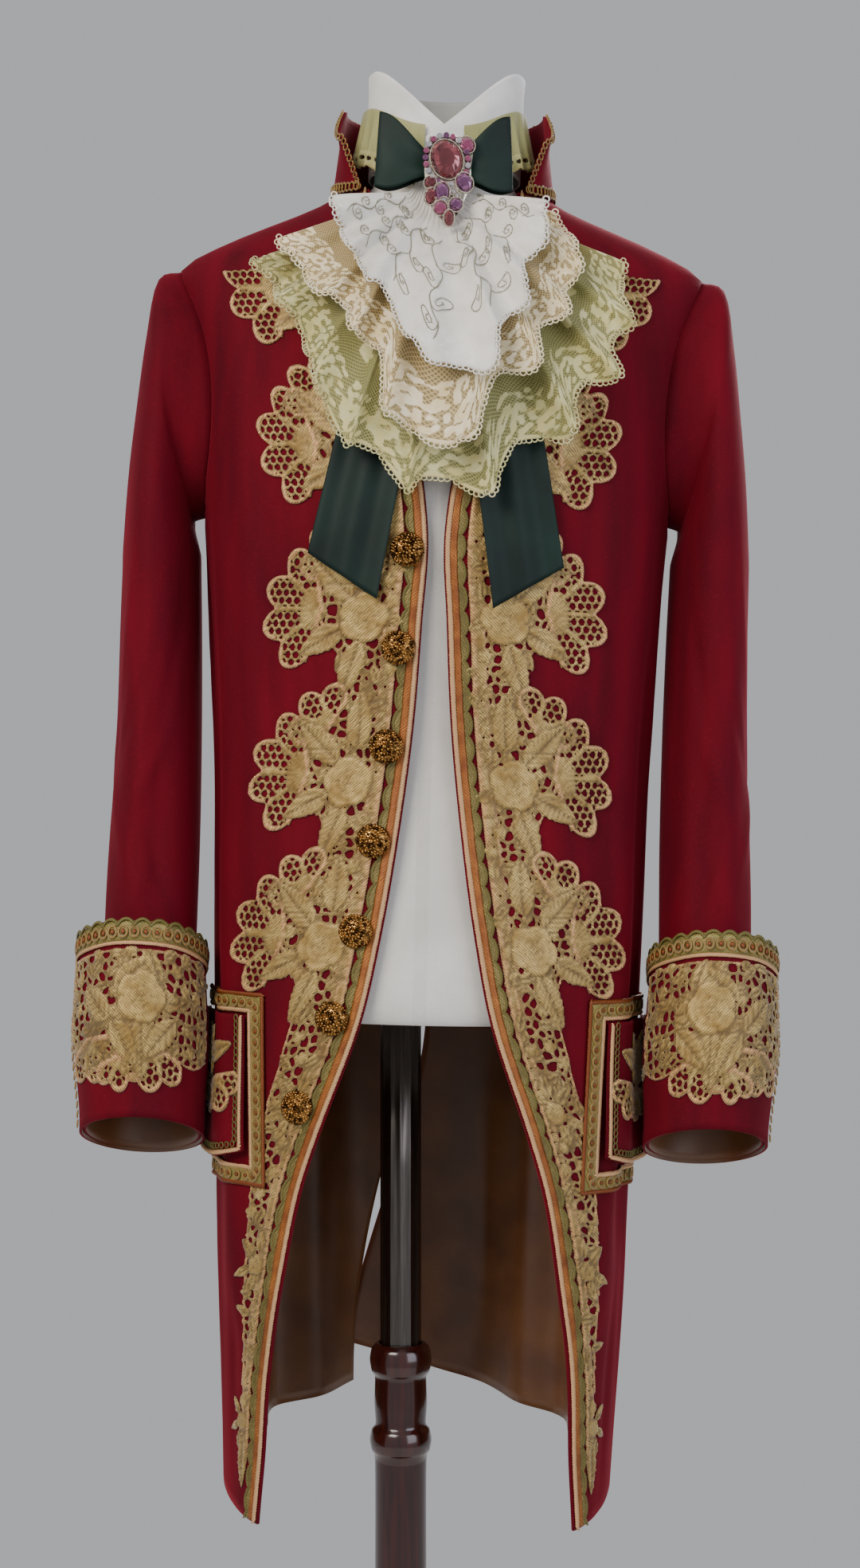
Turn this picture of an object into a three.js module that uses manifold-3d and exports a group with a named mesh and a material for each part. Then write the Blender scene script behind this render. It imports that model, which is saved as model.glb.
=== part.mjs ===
// A knee-length court coat in velvet with gold guipure lace, worn with its stock, jabot, bow and brooch
// on a limbless dress form. The form stands on a steel pole in a turned wooden post.
// Millimetres, +Z up, the front of the coat faces -Y. The origin is the centre of the base's underside.
import * as THREE from "three";
import { mergeVertices } from "three/addons/utils/BufferGeometryUtils.js";
import Module from "manifold-3d";

const wasm = await Module();
wasm.setup();

// Driving dimensions of the whole object.
const PLATE_Z = 820;            // underside of the dress form
const COAT_SHIFT_X = 20;        // the form sits this far to one side of the pole
const COAT_LEAN = 0.021;        // and leans by this many radians
const CLOTH = 2.2;              // velvet and lining together
const FINE_CLOTH = 1.2;         // lace, ribbon and satin
const SEAM = 0.4;               // gap kept between neighbouring pieces
const SIDE_SEAM = THREE.MathUtils.degToRad(96);
const ARMPIT_Z = 1205;
const SHOULDER_Z = 1398;
const NECK_Z = 1455;
const TIP_Z = 436;              // lowest point of each front
const SIDE_HEM_Z = 466;
const BACK_HEM_Z = 536;

// Outer surface of the coat's body, from hem to neck: half width, depth before and behind the form's axis.
const BODY_ROWS = [
  { z: 420, half: 150, front: 112, back: 124 },
  { z: 550, half: 155, front: 117, back: 128 },
  { z: 700, half: 161, front: 120, back: 129 },
  { z: 820, half: 166, front: 121, back: 127 },
  { z: 920, half: 169, front: 117, back: 119 },
  { z: 1010, half: 171, front: 113, back: 112 },
  { z: 1100, half: 175, front: 119, back: 112 },
  { z: 1200, half: 182, front: 127, back: 117 },
  { z: 1280, half: 189, front: 122, back: 117 },
  { z: 1340, half: 196, front: 108, back: 110 },
  { z: 1378, half: 203, front: 93, back: 98 },
  { z: 1398, half: 204, front: 81, back: 87 },
  { z: 1408, half: 190, front: 77, back: 82 },
  { z: 1424, half: 156, front: 72, back: 78 },
  { z: 1440, half: 116, front: 67, back: 74 },
  { z: 1455, half: 86, front: 63, back: 70 },
  { z: 1470, half: 80, front: 60, back: 66 },
];

// Half width of the gap between the two front edges, from the tips to the neck.
const EDGE_ROWS = [
  { z: 400, gap: 121 },
  { z: 436, gap: 120 },
  { z: 490, gap: 116 },
  { z: 550, gap: 113 },
  { z: 620, gap: 104 },
  { z: 690, gap: 92 },
  { z: 740, gap: 77 },
  { z: 820, gap: 49 },
  { z: 885, gap: 35 },
  { z: 955, gap: 24 },
  { z: 1040, gap: 14 },
  { z: 1120, gap: 9 },
  { z: 1184, gap: 6 },
  { z: 1260, gap: 17 },
  { z: 1350, gap: 38 },
  { z: 1420, gap: 54 },
  { z: 1470, gap: 58 },
];

// Soft vertical folds of the coat's body: where, how wide and deep, and between which heights they fade.
// side is -1 for the wearer's right, 1 for the left and 0 for both.
const FOLD_ROWS = [
  { side: -1, angle: 64, width: 7, depth: 5, low: 560, high: 1330 },
  { side: -1, angle: 52, width: 5, depth: 3, low: 900, high: 1400 },
  { side: -1, angle: 77, width: 6, depth: -4, low: 700, high: 1190 },
  { side: 1, angle: 60, width: 8, depth: 4, low: 560, high: 1280 },
  { side: 1, angle: 73, width: 6, depth: -4, low: 620, high: 1180 },
  { side: 1, angle: 46, width: 6, depth: 2.5, low: 1000, high: 1400 },
  { side: 0, angle: 106, width: 6, depth: 8, low: 380, high: 930 },
  { side: 0, angle: 119, width: 6, depth: -9, low: 380, high: 940 },
  { side: 0, angle: 132, width: 6, depth: 9, low: 380, high: 900 },
  { side: 0, angle: 146, width: 6, depth: -7, low: 380, high: 860 },
  { side: 0, angle: 162, width: 8, depth: 6, low: 380, high: 820 },
];

// A smooth curve through one named column of a table, as a function of z.
function column(rows, name) {
  return (z) => {
    const last = rows.length - 1;
    if (z <= rows[0].z) return rows[0][name];
    if (z >= rows[last].z) return rows[last][name];
    let i = 0;
    while (rows[i + 1].z < z) i++;
    const slope = (j) => {
      const a = Math.max(j - 1, 0);
      const b = Math.min(j + 1, last);
      return (rows[b][name] - rows[a][name]) / (rows[b].z - rows[a].z);
    };
    const span = rows[i + 1].z - rows[i].z;
    const t = (z - rows[i].z) / span;
    const t2 = t * t;
    const t3 = t2 * t;
    return (2 * t3 - 3 * t2 + 1) * rows[i][name] + (t3 - 2 * t2 + t) * span * slope(i)
      + (3 * t2 - 2 * t3) * rows[i + 1][name] + (t3 - t2) * span * slope(i + 1);
  };
}

const halfWidth = column(BODY_ROWS, "half");
const frontDepth = column(BODY_ROWS, "front");
const backDepth = column(BODY_ROWS, "back");
const edgeGap = column(EDGE_ROWS, "gap");
const radians = THREE.MathUtils.degToRad;
const lerp = THREE.MathUtils.lerp;
const smooth = (x, low, high) => THREE.MathUtils.smoothstep(x, low, high);

// How far a fold pushes the cloth out at this angle from centre front, on this side.
function foldDepth(side, angle, z) {
  let sum = 0;
  for (const row of FOLD_ROWS) {
    if (row.side && row.side !== side) continue;
    const across = (angle - radians(row.angle)) / radians(row.width);
    const fade = smooth(z, row.low, row.low + 60) * (1 - smooth(z, row.high - 160, row.high));
    sum += row.depth * Math.exp(-across * across) * fade;
  }
  return sum;
}

// A point of the coat's body: angle from centre front, positive to both sides, out is added to the radius.
function bodyPoint(side, angle, z, out = 0) {
  const push = out + foldDepth(side, angle, z);
  const depth = angle < Math.PI / 2 ? frontDepth(z) : backDepth(z);
  const x = Math.sin(angle) * halfWidth(z);
  const y = -Math.cos(angle) * depth;
  const nx = Math.sin(angle) / halfWidth(z);
  const ny = -Math.cos(angle) / depth;
  const length = Math.hypot(nx, ny);
  return new THREE.Vector3(side * (x + (push * nx) / length), y + (push * ny) / length, z);
}

const edgeAngle = (z) => Math.asin(Math.min(edgeGap(z) / halfWidth(z), 0.999));

// Angle reached after a distance along the cloth from the front edge.
function angleAlong(z, distance) {
  const steps = 24;
  let angle = edgeAngle(z);
  for (let i = 0; i < steps; i++) {
    const depth = angle < Math.PI / 2 ? frontDepth(z) : backDepth(z);
    angle += distance / steps / Math.hypot(Math.cos(angle) * halfWidth(z), Math.sin(angle) * depth);
  }
  return angle;
}

// The surface's outward direction where two parameters meet.
function normalAt(surface, u, v, step = 1e-3) {
  const du = surface(u + step, v).sub(surface(u - step, v));
  const dv = surface(u, v + step).sub(surface(u, v - step));
  return du.cross(dv).normalize();
}

// One closed geometry from vertices and triangles, facing out.
function closedGeometry(points, faces) {
  let volume = 0;
  for (const [a, b, c] of faces) {
    volume += points[a].dot(points[b].clone().cross(points[c]));
  }
  const flat = [];
  for (const [a, b, c] of faces) {
    for (const i of volume < 0 ? [a, c, b] : [a, b, c]) flat.push(...points[i].toArray());
  }
  const geometry = new THREE.BufferGeometry();
  geometry.setAttribute("position", new THREE.Float32BufferAttribute(flat, 3));
  geometry.computeVertexNormals();
  return geometry;
}

// A wall between an outer and an inner grid of points, grid[row][column]. A ring joins its last column to its first.
function wallBetween(outer, inner, ring = false) {
  const rows = outer.length;
  const columns = outer[0].length;
  const points = [...outer.flat(), ...inner.flat()];
  const at = (layer, r, c) => layer * rows * columns + r * columns + (c % columns);
  const faces = [];
  const quad = (a, b, c, d) => faces.push([a, b, c], [a, c, d]);
  const across = ring ? columns : columns - 1;
  for (let r = 0; r + 1 < rows; r++) {
    for (let c = 0; c < across; c++) {
      quad(at(0, r, c), at(0, r, c + 1), at(0, r + 1, c + 1), at(0, r + 1, c));
      quad(at(1, r, c), at(1, r + 1, c), at(1, r + 1, c + 1), at(1, r, c + 1));
    }
  }
  for (let c = 0; c < across; c++) {
    quad(at(0, 0, c), at(1, 0, c), at(1, 0, c + 1), at(0, 0, c + 1));
    quad(at(0, rows - 1, c), at(0, rows - 1, c + 1), at(1, rows - 1, c + 1), at(1, rows - 1, c));
  }
  if (!ring) {
    for (let r = 0; r + 1 < rows; r++) {
      quad(at(0, r, 0), at(0, r + 1, 0), at(1, r + 1, 0), at(1, r, 0));
      quad(at(0, r, columns - 1), at(1, r, columns - 1), at(1, r + 1, columns - 1), at(0, r + 1, columns - 1));
    }
  }
  return closedGeometry(points, faces);
}

// A sheet of cloth on surface(u, v): across and down are lists of parameters, thickness goes along inward.
function sheetWall(surface, across, down, thickness, inward = 1) {
  const outer = down.map((v) => across.map((u) => surface(u, v)));
  const inner = down.map((v, r) => across.map((u, c) =>
    outer[r][c].clone().addScaledVector(normalAt(surface, u, v), -inward * thickness)));
  return wallBetween(outer, inner);
}

// Evenly spaced numbers from low to high.
const spread = (count, low = 0, high = 1) => Array.from({ length: count + 1 }, (_, i) => lerp(low, high, i / count));

const coat = new THREE.Group();
const stand = new THREE.Group();

// Adds one named piece with its finish.
function add(group, name, geometry, finish) {
  const mesh = new THREE.Mesh(geometry, finish);
  mesh.name = name;
  group.add(mesh);
}

const finish = (color, roughness, metalness = 0) => new THREE.MeshStandardMaterial({ color, roughness, metalness });
const VELVET = finish("#6b0f1f", 0.8);
const GOLD_LACE = finish("#c9b56a", 0.7);
const TRIM = finish("#b08a4a", 0.6);
const BEADS = finish("#6e5230", 0.3, 0.5);
const GREEN = finish("#0f3a30", 0.7);
const PALE_LACE = finish("#c9c68c", 0.8);
const CREAM = finish("#ead9b0", 0.8);
const SATIN = finish("#efe8dc", 0.5);
const STOCK = finish("#f1efec", 0.8);
const STONES = finish("#8a2358", 0.15, 0.1);
const CANVAS = finish("#e8e4dc", 0.9);
const STEEL = finish("#4a4744", 0.35, 0.9);
const WOOD = finish("#3a1410", 0.35);

// Heights of the body's rows between hem and neck. Rows under HEM_BLEND_Z follow the curve of the hem.
const BODY_LEVELS = [
  436, 490, 550, 620, 700, 780, 860, 950, 1040, 1130, ARMPIT_Z, 1237, 1270, 1304, 1338, 1368, 1386,
  SHOULDER_Z, 1424, 1440, NECK_Z,
];
const HEM_BLEND_Z = 700;

// How far the armhole bites into the panels, in radians, at a height.
const ARMHOLE_BITE = radians(24);
function armholeBite(z) {
  const across = (2 * (z - ARMPIT_Z)) / (SHOULDER_Z - ARMPIT_Z) - 1;
  return Math.abs(across) >= 1 ? 0 : ARMHOLE_BITE * Math.sqrt(1 - across * across);
}

// A level lifted to the hem's own height at this place.
const liftHem = (level, hemZ) => level + (hemZ - BODY_LEVELS[0]) * (1 - smooth(level, BODY_LEVELS[0], HEM_BLEND_Z));

// The side seam leans back from the shoulder ridge to its place in the skirt.
const seamAngle = (z) => lerp(SIDE_SEAM, Math.PI / 2, smooth(z, 1000, ARMPIT_Z));

// The body's outward direction at an angle and height.
function bodyNormal(side, angle, z) {
  const turn = 0.01;
  const rise = 0.5;
  const around = bodyPoint(side, angle + turn, z).sub(bodyPoint(side, angle - turn, z));
  const up = bodyPoint(side, angle, z + rise).sub(bodyPoint(side, angle, z - rise));
  return around.cross(up).normalize().multiplyScalar(side);
}

// A wall over the body from its levels, with its thickness inward. push moves the cloth off the body's surface.
function bodySkin(side, angleOf, hemOf, across, push = () => 0) {
  return BODY_LEVELS.map((level) => across.map((u) => {
    const z = liftHem(level, hemOf(u));
    return bodyPoint(side, angleOf(u, z), z, push(u, z));
  }));
}
function bodyWall(side, angleOf, hemOf, across, push) {
  const outer = bodySkin(side, angleOf, hemOf, across, push);
  const inner = BODY_LEVELS.map((level, r) => across.map((u, c) => {
    const z = liftHem(level, hemOf(u));
    return outer[r][c].clone().addScaledVector(bodyNormal(side, angleOf(u, z), z), -CLOTH);
  }));
  return wallBetween(outer, inner);
}

// Fronts: from the cut-away front edge to the side seam, armhole and shoulder seam.
const frontAngle = (u, z) => lerp(edgeAngle(z), seamAngle(z) - armholeBite(z), u);
const frontHem = (u) => lerp(TIP_Z, SIDE_HEM_Z, u ** 1.4);
const FRONT_ACROSS = [0, 0.1, 0.22, 0.34, 0.46, 0.58, 0.7, 0.8, 0.9, 1];
add(coat, "front_right", bodyWall(-1, frontAngle, frontHem, FRONT_ACROSS), VELVET);
add(coat, "front_left", bodyWall(1, frontAngle, frontHem, FRONT_ACROSS), VELVET);

// Backs: from the side seam to the centre back, open below the waist as a vent. There the wearer's right skirt
// hangs forward, and the left skirt runs on behind it.
const VENT = { top: 880, rightOpens: radians(22), leftRunsOn: radians(27), rightInward: 13, leftOutward: 3 };
const seamGap = (z) => SEAM / halfWidth(z);
const ventOpen = (z) => 1 - smooth(z, BACK_HEM_Z - 20, VENT.top);
function backAngle(side) {
  return (u, z) => {
    const opened = side < 0 ? -VENT.rightOpens * ventOpen(z) : VENT.leftRunsOn * ventOpen(z + 60);
    const centre = Math.PI - seamGap(z) / 2 + opened;
    return lerp(seamAngle(z) + armholeBite(z) + seamGap(z), centre, u);
  };
}
const backPush = (side) => (u, z) => (side < 0 ? -VENT.rightInward : VENT.leftOutward) * smooth(u, 0.55, 1)
  * Math.min(1, 2.2 * ventOpen(z));
const backHem = (side) => (u) => lerp(SIDE_HEM_Z, side < 0 ? BACK_HEM_Z - 30 : BACK_HEM_Z, u ** 1.2);
const BACK_ACROSS = spread(10);
add(coat, "back_right", bodyWall(-1, backAngle(-1), backHem(-1), BACK_ACROSS, backPush(-1)), VELVET);
add(coat, "back_left", bodyWall(1, backAngle(1), backHem(1), BACK_ACROSS, backPush(1)), VELVET);

// Sleeves: the head turns about the armpit, then flattened rings run down to the cuff.
// inX, inZ: the ring's inner point; reach: inner to outer point; turn: degrees from upright; deep: half depth.
const HEAD_RINGS = [
  { inX: 190, inZ: 1202, reach: 191, turn: 9.5, deep: 56 },
  { inX: 190, inZ: 1199, reach: 153, turn: 15, deep: 62 },
  { inX: 190, inZ: 1196, reach: 108, turn: 25, deep: 67 },
  { inX: 189, inZ: 1192, reach: 70, turn: 48, deep: 71 },
];
// z, centre and half sizes of the sleeve's rings, and how far each tips up in front.
const ARM_ROWS = [
  { z: 700, x: 216, y: -47, wide: 45, deep: 56, tip: 21 },
  { z: 735, x: 216, y: -44, wide: 44.5, deep: 55, tip: 21 },
  { z: 780, x: 216, y: -37, wide: 40, deep: 53, tip: 20 },
  { z: 830, x: 215, y: -28, wide: 35, deep: 54, tip: 17 },
  { z: 890, x: 214, y: -18, wide: 34, deep: 57, tip: 12 },
  { z: 960, x: 213, y: -8, wide: 33, deep: 61, tip: 7 },
  { z: 1040, x: 213, y: -2, wide: 32, deep: 65, tip: 3 },
  { z: 1120, x: 214, y: 2, wide: 31, deep: 69, tip: 0 },
  { z: 1180, x: 215, y: 3, wide: 30, deep: 72, tip: 0 },
  { z: 1200, x: 215, y: 3, wide: 30, deep: 72, tip: 0 },
];
// Creases of the sleeves: around (degrees from outside towards the front), height, depth and their sizes.
const SLEEVE_CREASES = [
  { around: 62, z: 1010, depth: 4, wide: 26, tall: 150 },
  { around: 100, z: 960, depth: -5, wide: 22, tall: 120 },
  { around: 20, z: 930, depth: 3.5, wide: 22, tall: 90 },
  { around: 300, z: 1000, depth: -4, wide: 30, tall: 80 },
  { around: 340, z: 1090, depth: 3, wide: 26, tall: 110 },
];
const armColumn = Object.fromEntries(["x", "y", "wide", "deep", "tip"].map((name) => [name, column(ARM_ROWS, name)]));
const SLEEVE_END_Z = 728;
const SLEEVE_LEVELS = [1176, 1130, 1080, 1035, 990, 945, 905, 868, 800, SLEEVE_END_Z];

function sleeveCrease(turn, z) {
  let sum = 0;
  for (const row of SLEEVE_CREASES) {
    let across = THREE.MathUtils.euclideanModulo(THREE.MathUtils.radToDeg(turn) - row.around + 180, 360) - 180;
    across /= row.wide;
    const along = (z - row.z) / row.tall;
    sum += row.depth * Math.exp(-across * across - along * along);
  }
  return sum;
}

// A point of the arm's tube: turn 0 is outside, 90 degrees is the front.
function armPoint(side, turn, z, out) {
  const tip = radians(armColumn.tip(z));
  const push = out + sleeveCrease(turn, z);
  const x = armColumn.x(z) + (armColumn.wide(z) + push) * Math.cos(turn);
  const forward = (armColumn.deep(z) + push) * Math.sin(turn);
  return new THREE.Vector3(side * x, armColumn.y(z) - forward * Math.cos(tip), z + forward * Math.sin(tip));
}

// The armhole's edge, from the shoulder down the front to the armpit and up the back.
const armholeLevels = BODY_LEVELS.filter((z) => z >= ARMPIT_Z && z <= SHOULDER_Z);
function armholeRing(side, out) {
  const down = [...armholeLevels].reverse();
  const rim = [
    ...down.map((z) => bodyPoint(side, seamAngle(z) - armholeBite(z), z)),
    ...armholeLevels.slice(1, -1).map((z) => bodyPoint(side, seamAngle(z) + armholeBite(z), z)),
  ];
  const middle = new THREE.Vector3(side * 190, 0, (ARMPIT_Z + SHOULDER_Z) / 2);
  return rim.map((p) => {
    const toRim = new THREE.Vector3(0, p.y - middle.y, p.z - middle.z).normalize();
    return p.clone().add(new THREE.Vector3(side * 0.9, 0, 0)).addScaledVector(toRim, out);
  });
}

function sleeve(side) {
  const first = armholeRing(side, 0);
  const middleZ = (ARMPIT_Z + SHOULDER_Z) / 2;
  const turns = first.map((p, i) => (i === 0 ? 0 : THREE.MathUtils.euclideanModulo(
    Math.atan2(-p.y / 50, (p.z - middleZ) / 96), 2 * Math.PI)));
  const rings = (out) => {
    const list = [armholeRing(side, out)];
    for (const row of HEAD_RINGS) {
      const turn = radians(row.turn);
      const half = row.reach / 2;
      list.push(turns.map((t) => {
        const along = half + (half + out) * Math.cos(t);
        const y = -(row.deep + out) * Math.sin(t);
        return new THREE.Vector3(side * (row.inX + along * Math.sin(turn)), y, row.inZ + along * Math.cos(turn));
      }));
    }
    for (const z of SLEEVE_LEVELS) list.push(turns.map((t) => armPoint(side, t, z, out)));
    return list;
  };
  return wallBetween(rings(0), rings(-CLOTH), true);
}
add(coat, "sleeve_right", sleeve(-1), VELVET);
add(coat, "sleeve_left", sleeve(1), VELVET);

// Cuffs: wide turn-backs round the sleeve's end, standing off it at the top.
const CUFF = { top: 872, bottom: SLEEVE_END_Z - 2, topEase: 9, bottomEase: 0.9, outward: 6, turns: 24 };
const CUFF_LEVELS = [0, 0.12, 0.55, 1];
function cuffPoint(side, turn, part, out) {
  const z = lerp(CUFF.bottom, CUFF.top, part);
  const ease = lerp(CUFF.bottomEase, CUFF.topEase, smooth(part, 0, 0.55));
  const tip = radians(lerp(21, 19, part));
  const wide = lerp(armColumn.wide(CUFF.bottom), 36, part) + ease + out;
  const outward = CUFF.outward * part;
  const deep = lerp(armColumn.deep(CUFF.bottom), 57, part) + ease + out;
  const y = lerp(armColumn.y(CUFF.bottom), armColumn.y(CUFF.top) - 4, part);
  const x = armColumn.x(z) + outward + wide * Math.cos(turn);
  const forward = deep * Math.sin(turn);
  return new THREE.Vector3(side * x, y - forward * Math.cos(tip), z + forward * Math.sin(tip));
}
const cuffTurns = spread(CUFF.turns, 0, 2 * Math.PI).slice(0, -1);
function cuffBand(side, low, high, lift, thickness, levels) {
  const ring = (out) => levels.map((v) => cuffTurns.map((t) => cuffPoint(side, t, lerp(low, high, v), out)));
  return wallBetween(ring(lift + thickness), ring(lift), true);
}
const CUFF_TRIM = { low: 0.88, high: 1, thick: 2.4 };
for (const [side, hand] of [[-1, "right"], [1, "left"]]) {
  add(coat, `cuff_${hand}`, cuffBand(side, 0, 1, 0, CLOTH, CUFF_LEVELS), VELVET);
  add(coat, `cuff_trim_${hand}`, cuffBand(side, CUFF_TRIM.low, CUFF_TRIM.high, CLOTH + SEAM, CUFF_TRIM.thick, [0, 1]), TRIM);
}

// The stand: a flat round base, a turned post and the steel pole that carries the form.
const STAND = { poleRadius: 16, poleFoot: 545, postTop: 562, baseRadius: 195, baseTop: 34 };
const POST_PROFILE = [
  { r: 0, z: STAND.baseTop + SEAM }, { r: 34, z: STAND.baseTop + SEAM }, { r: 36, z: 46 }, { r: 30, z: 58 }, { r: 22, z: 66 },
  { r: 20, z: 90 }, { r: 20.5, z: 300 }, { r: 20, z: 474 }, { r: 23, z: 478 }, { r: 24.5, z: 486 }, { r: 23, z: 494 },
  { r: 19.5, z: 498 }, { r: 21, z: 516 }, { r: 20, z: 536 }, { r: 23, z: 540 }, { r: 24.5, z: 549 }, { r: 23, z: 558 },
  { r: 19, z: STAND.postTop }, { r: STAND.poleRadius + SEAM, z: STAND.postTop },
  { r: STAND.poleRadius + SEAM, z: STAND.poleFoot - SEAM }, { r: 0, z: STAND.poleFoot - SEAM },
];
const BASE_PROFILE = [
  { r: 0, z: 0 }, { r: STAND.baseRadius - 4, z: 0 }, { r: STAND.baseRadius, z: 5 }, { r: STAND.baseRadius, z: 16 },
  { r: STAND.baseRadius - 12, z: 24 }, { r: 110, z: 30 }, { r: 40, z: STAND.baseTop }, { r: 0, z: STAND.baseTop },
];
// A turned solid standing on +Z.
function turned(profile, sides) {
  const geometry = new THREE.LatheGeometry(profile.map((p) => new THREE.Vector2(p.r, p.z)), sides);
  geometry.rotateX(Math.PI / 2);
  return geometry;
}
add(stand, "stand_base", turned(BASE_PROFILE, 24), WOOD);
add(stand, "stand_post", turned(POST_PROFILE, 16), WOOD);
const poleLength = PLATE_Z - SEAM - STAND.poleFoot;
const pole = new THREE.CylinderGeometry(STAND.poleRadius, STAND.poleRadius, poleLength, 20).rotateX(Math.PI / 2);
pole.translate(0, 0, STAND.poleFoot + poleLength / 2);
add(stand, "stand_pole", pole, STEEL);

// The dress form: the body's own sections, smaller by the cloth and its ease, with a plain neck.
const FORM_ROWS = [
  { z: 820, half: 152, front: 106, back: 110 },
  { z: 834, half: 156, front: 110, back: 114 },
  { z: 900, half: 156, front: 108, back: 110 },
  { z: 960, half: 151, front: 104, back: 103 },
  { z: 1030, half: 147, front: 101, back: 99 },
  { z: 1110, half: 157, front: 109, back: 103 },
  { z: 1200, half: 171, front: 119, back: 110 },
  { z: 1280, half: 180, front: 116, back: 111 },
  { z: 1340, half: 188, front: 103, back: 105 },
  { z: 1375, half: 193, front: 89, back: 94 },
  { z: 1395.3, half: 192, front: 79, back: 85 },
  { z: 1421.7, half: 150, front: 67, back: 74 },
  { z: 1437.5, half: 110, front: 62, back: 69 },
  { z: 1450.2, half: 76, front: 57, back: 63 },
  { z: 1462, half: 57, front: 54, back: 56 },
  { z: 1500, half: 53, front: 53, back: 53 },
];
const FORM_SIDES = 20;
function dressForm() {
  const points = [];
  const faces = [];
  for (const row of FORM_ROWS) {
    for (let i = 0; i < FORM_SIDES; i++) {
      const angle = (i / FORM_SIDES) * 2 * Math.PI;
      const depth = Math.cos(angle) > 0 ? row.front : row.back;
      points.push(new THREE.Vector3(Math.sin(angle) * row.half, -Math.cos(angle) * depth, row.z));
    }
  }
  const ring = (r, i) => r * FORM_SIDES + (i % FORM_SIDES);
  for (let r = 0; r + 1 < FORM_ROWS.length; r++) {
    for (let i = 0; i < FORM_SIDES; i++) {
      faces.push([ring(r, i), ring(r, i + 1), ring(r + 1, i + 1)], [ring(r, i), ring(r + 1, i + 1), ring(r + 1, i)]);
    }
  }
  for (const [r, flip] of [[0, true], [FORM_ROWS.length - 1, false]]) {
    const middle = points.push(new THREE.Vector3(0, 0, FORM_ROWS[r].z)) - 1;
    for (let i = 0; i < FORM_SIDES; i++) {
      faces.push(flip ? [middle, ring(r, i + 1), ring(r, i)] : [middle, ring(r, i), ring(r, i + 1)]);
    }
  }
  return closedGeometry(points, faces);
}
add(coat, "dress_form", dressForm(), CANVAS);

// The collar stands round the neck, open in front, with its ends flared outward.
const COLLAR = { halfTurn: radians(133), low: NECK_Z + 2, high: 1524 };
function collarPoint(turn, part) {
  const end = smooth(Math.abs(turn), radians(95), COLLAR.halfTurn);
  const wide = lerp(87, 79, part);
  const deep = lerp(71, 66, part);
  const x = Math.sin(turn) * wide + Math.sign(turn) * 20 * end * part;
  const top = COLLAR.high - 30 * end;
  return new THREE.Vector3(x, Math.cos(turn) * deep - 4 * end, lerp(COLLAR.low - 3 * end, top, part));
}
add(coat, "collar", sheetWall((u, v) => collarPoint(u, v), spread(20, -COLLAR.halfTurn, COLLAR.halfTurn),
  [0, 0.5, 1], CLOTH, -1), VELVET);

// A point of the fronts' own facets, so that what lies on the cloth follows it.
const frontSkin = { [-1]: bodySkin(-1, frontAngle, frontHem, FRONT_ACROSS), 1: bodySkin(1, frontAngle, frontHem, FRONT_ACROSS) };
function onFront(side, angle, z) {
  const skin = frontSkin[side];
  const share = (angle - edgeAngle(z)) / (frontAngle(1, z) - edgeAngle(z));
  let c = 0;
  while (c < FRONT_ACROSS.length - 2 && FRONT_ACROSS[c + 1] < share) c++;
  const tu = (share - FRONT_ACROSS[c]) / (FRONT_ACROSS[c + 1] - FRONT_ACROSS[c]);
  const rowZ = (r) => lerp(skin[r][c].z, skin[r][c + 1].z, tu);
  let r = 0;
  while (r < skin.length - 2 && rowZ(r + 1) < z) r++;
  const tz = (z - rowZ(r)) / (rowZ(r + 1) - rowZ(r));
  const [a, b, d, e] = [skin[r][c], skin[r][c + 1], skin[r + 1][c + 1], skin[r + 1][c]];
  const point = a.clone();
  if (tu > tz) return point.addScaledVector(b.clone().sub(a), tu).addScaledVector(d.clone().sub(b), tz);
  return point.addScaledVector(e.clone().sub(a), tz).addScaledVector(d.clone().sub(e), tu);
}

// A point at a distance along the cloth from the front edge, lifted off the cloth.
function frontPoint(side, distance, z, lift) {
  const angle = angleAlong(z, distance);
  return onFront(side, angle, z).addScaledVector(bodyNormal(side, angle, z), lift);
}

// Braid along each front edge: twisted cord, flat braid and scalloped gimp, side by side.
const EDGE_TRIM = { near: 1, far: 13, thick: 2.2 };
const trimLevels = BODY_LEVELS.filter((z) => z < NECK_Z - 20);
function edgeTrim(side) {
  const grid = (lift) => trimLevels.map((z) =>
    [EDGE_TRIM.near, EDGE_TRIM.far].map((s) => frontPoint(side, s, Math.max(z, TIP_Z + 3), lift)));
  return wallBetween(grid(SEAM + 0.5 + EDGE_TRIM.thick), grid(SEAM + 0.5));
}
add(coat, "edge_trim_right", edgeTrim(-1), TRIM);
add(coat, "edge_trim_left", edgeTrim(1), TRIM);

// Lace is drawn flat and then laid on the cloth. Each motif is a closed outline.
const LACE = { lift: 1.9, thick: 1.5, longest: 56 };
function turnedOutline(points, x, y, degrees, scale = 1) {
  const c = Math.cos(radians(degrees)) * scale;
  const s = Math.sin(radians(degrees)) * scale;
  return points.map(([px, py]) => [x + px * c - py * s, y + px * s + py * c]);
}
const leafOutline = (long, wide) => [[0, 0], [0.4 * long, -0.5 * wide], [long, 0], [0.4 * long, 0.5 * wide]];
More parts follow.
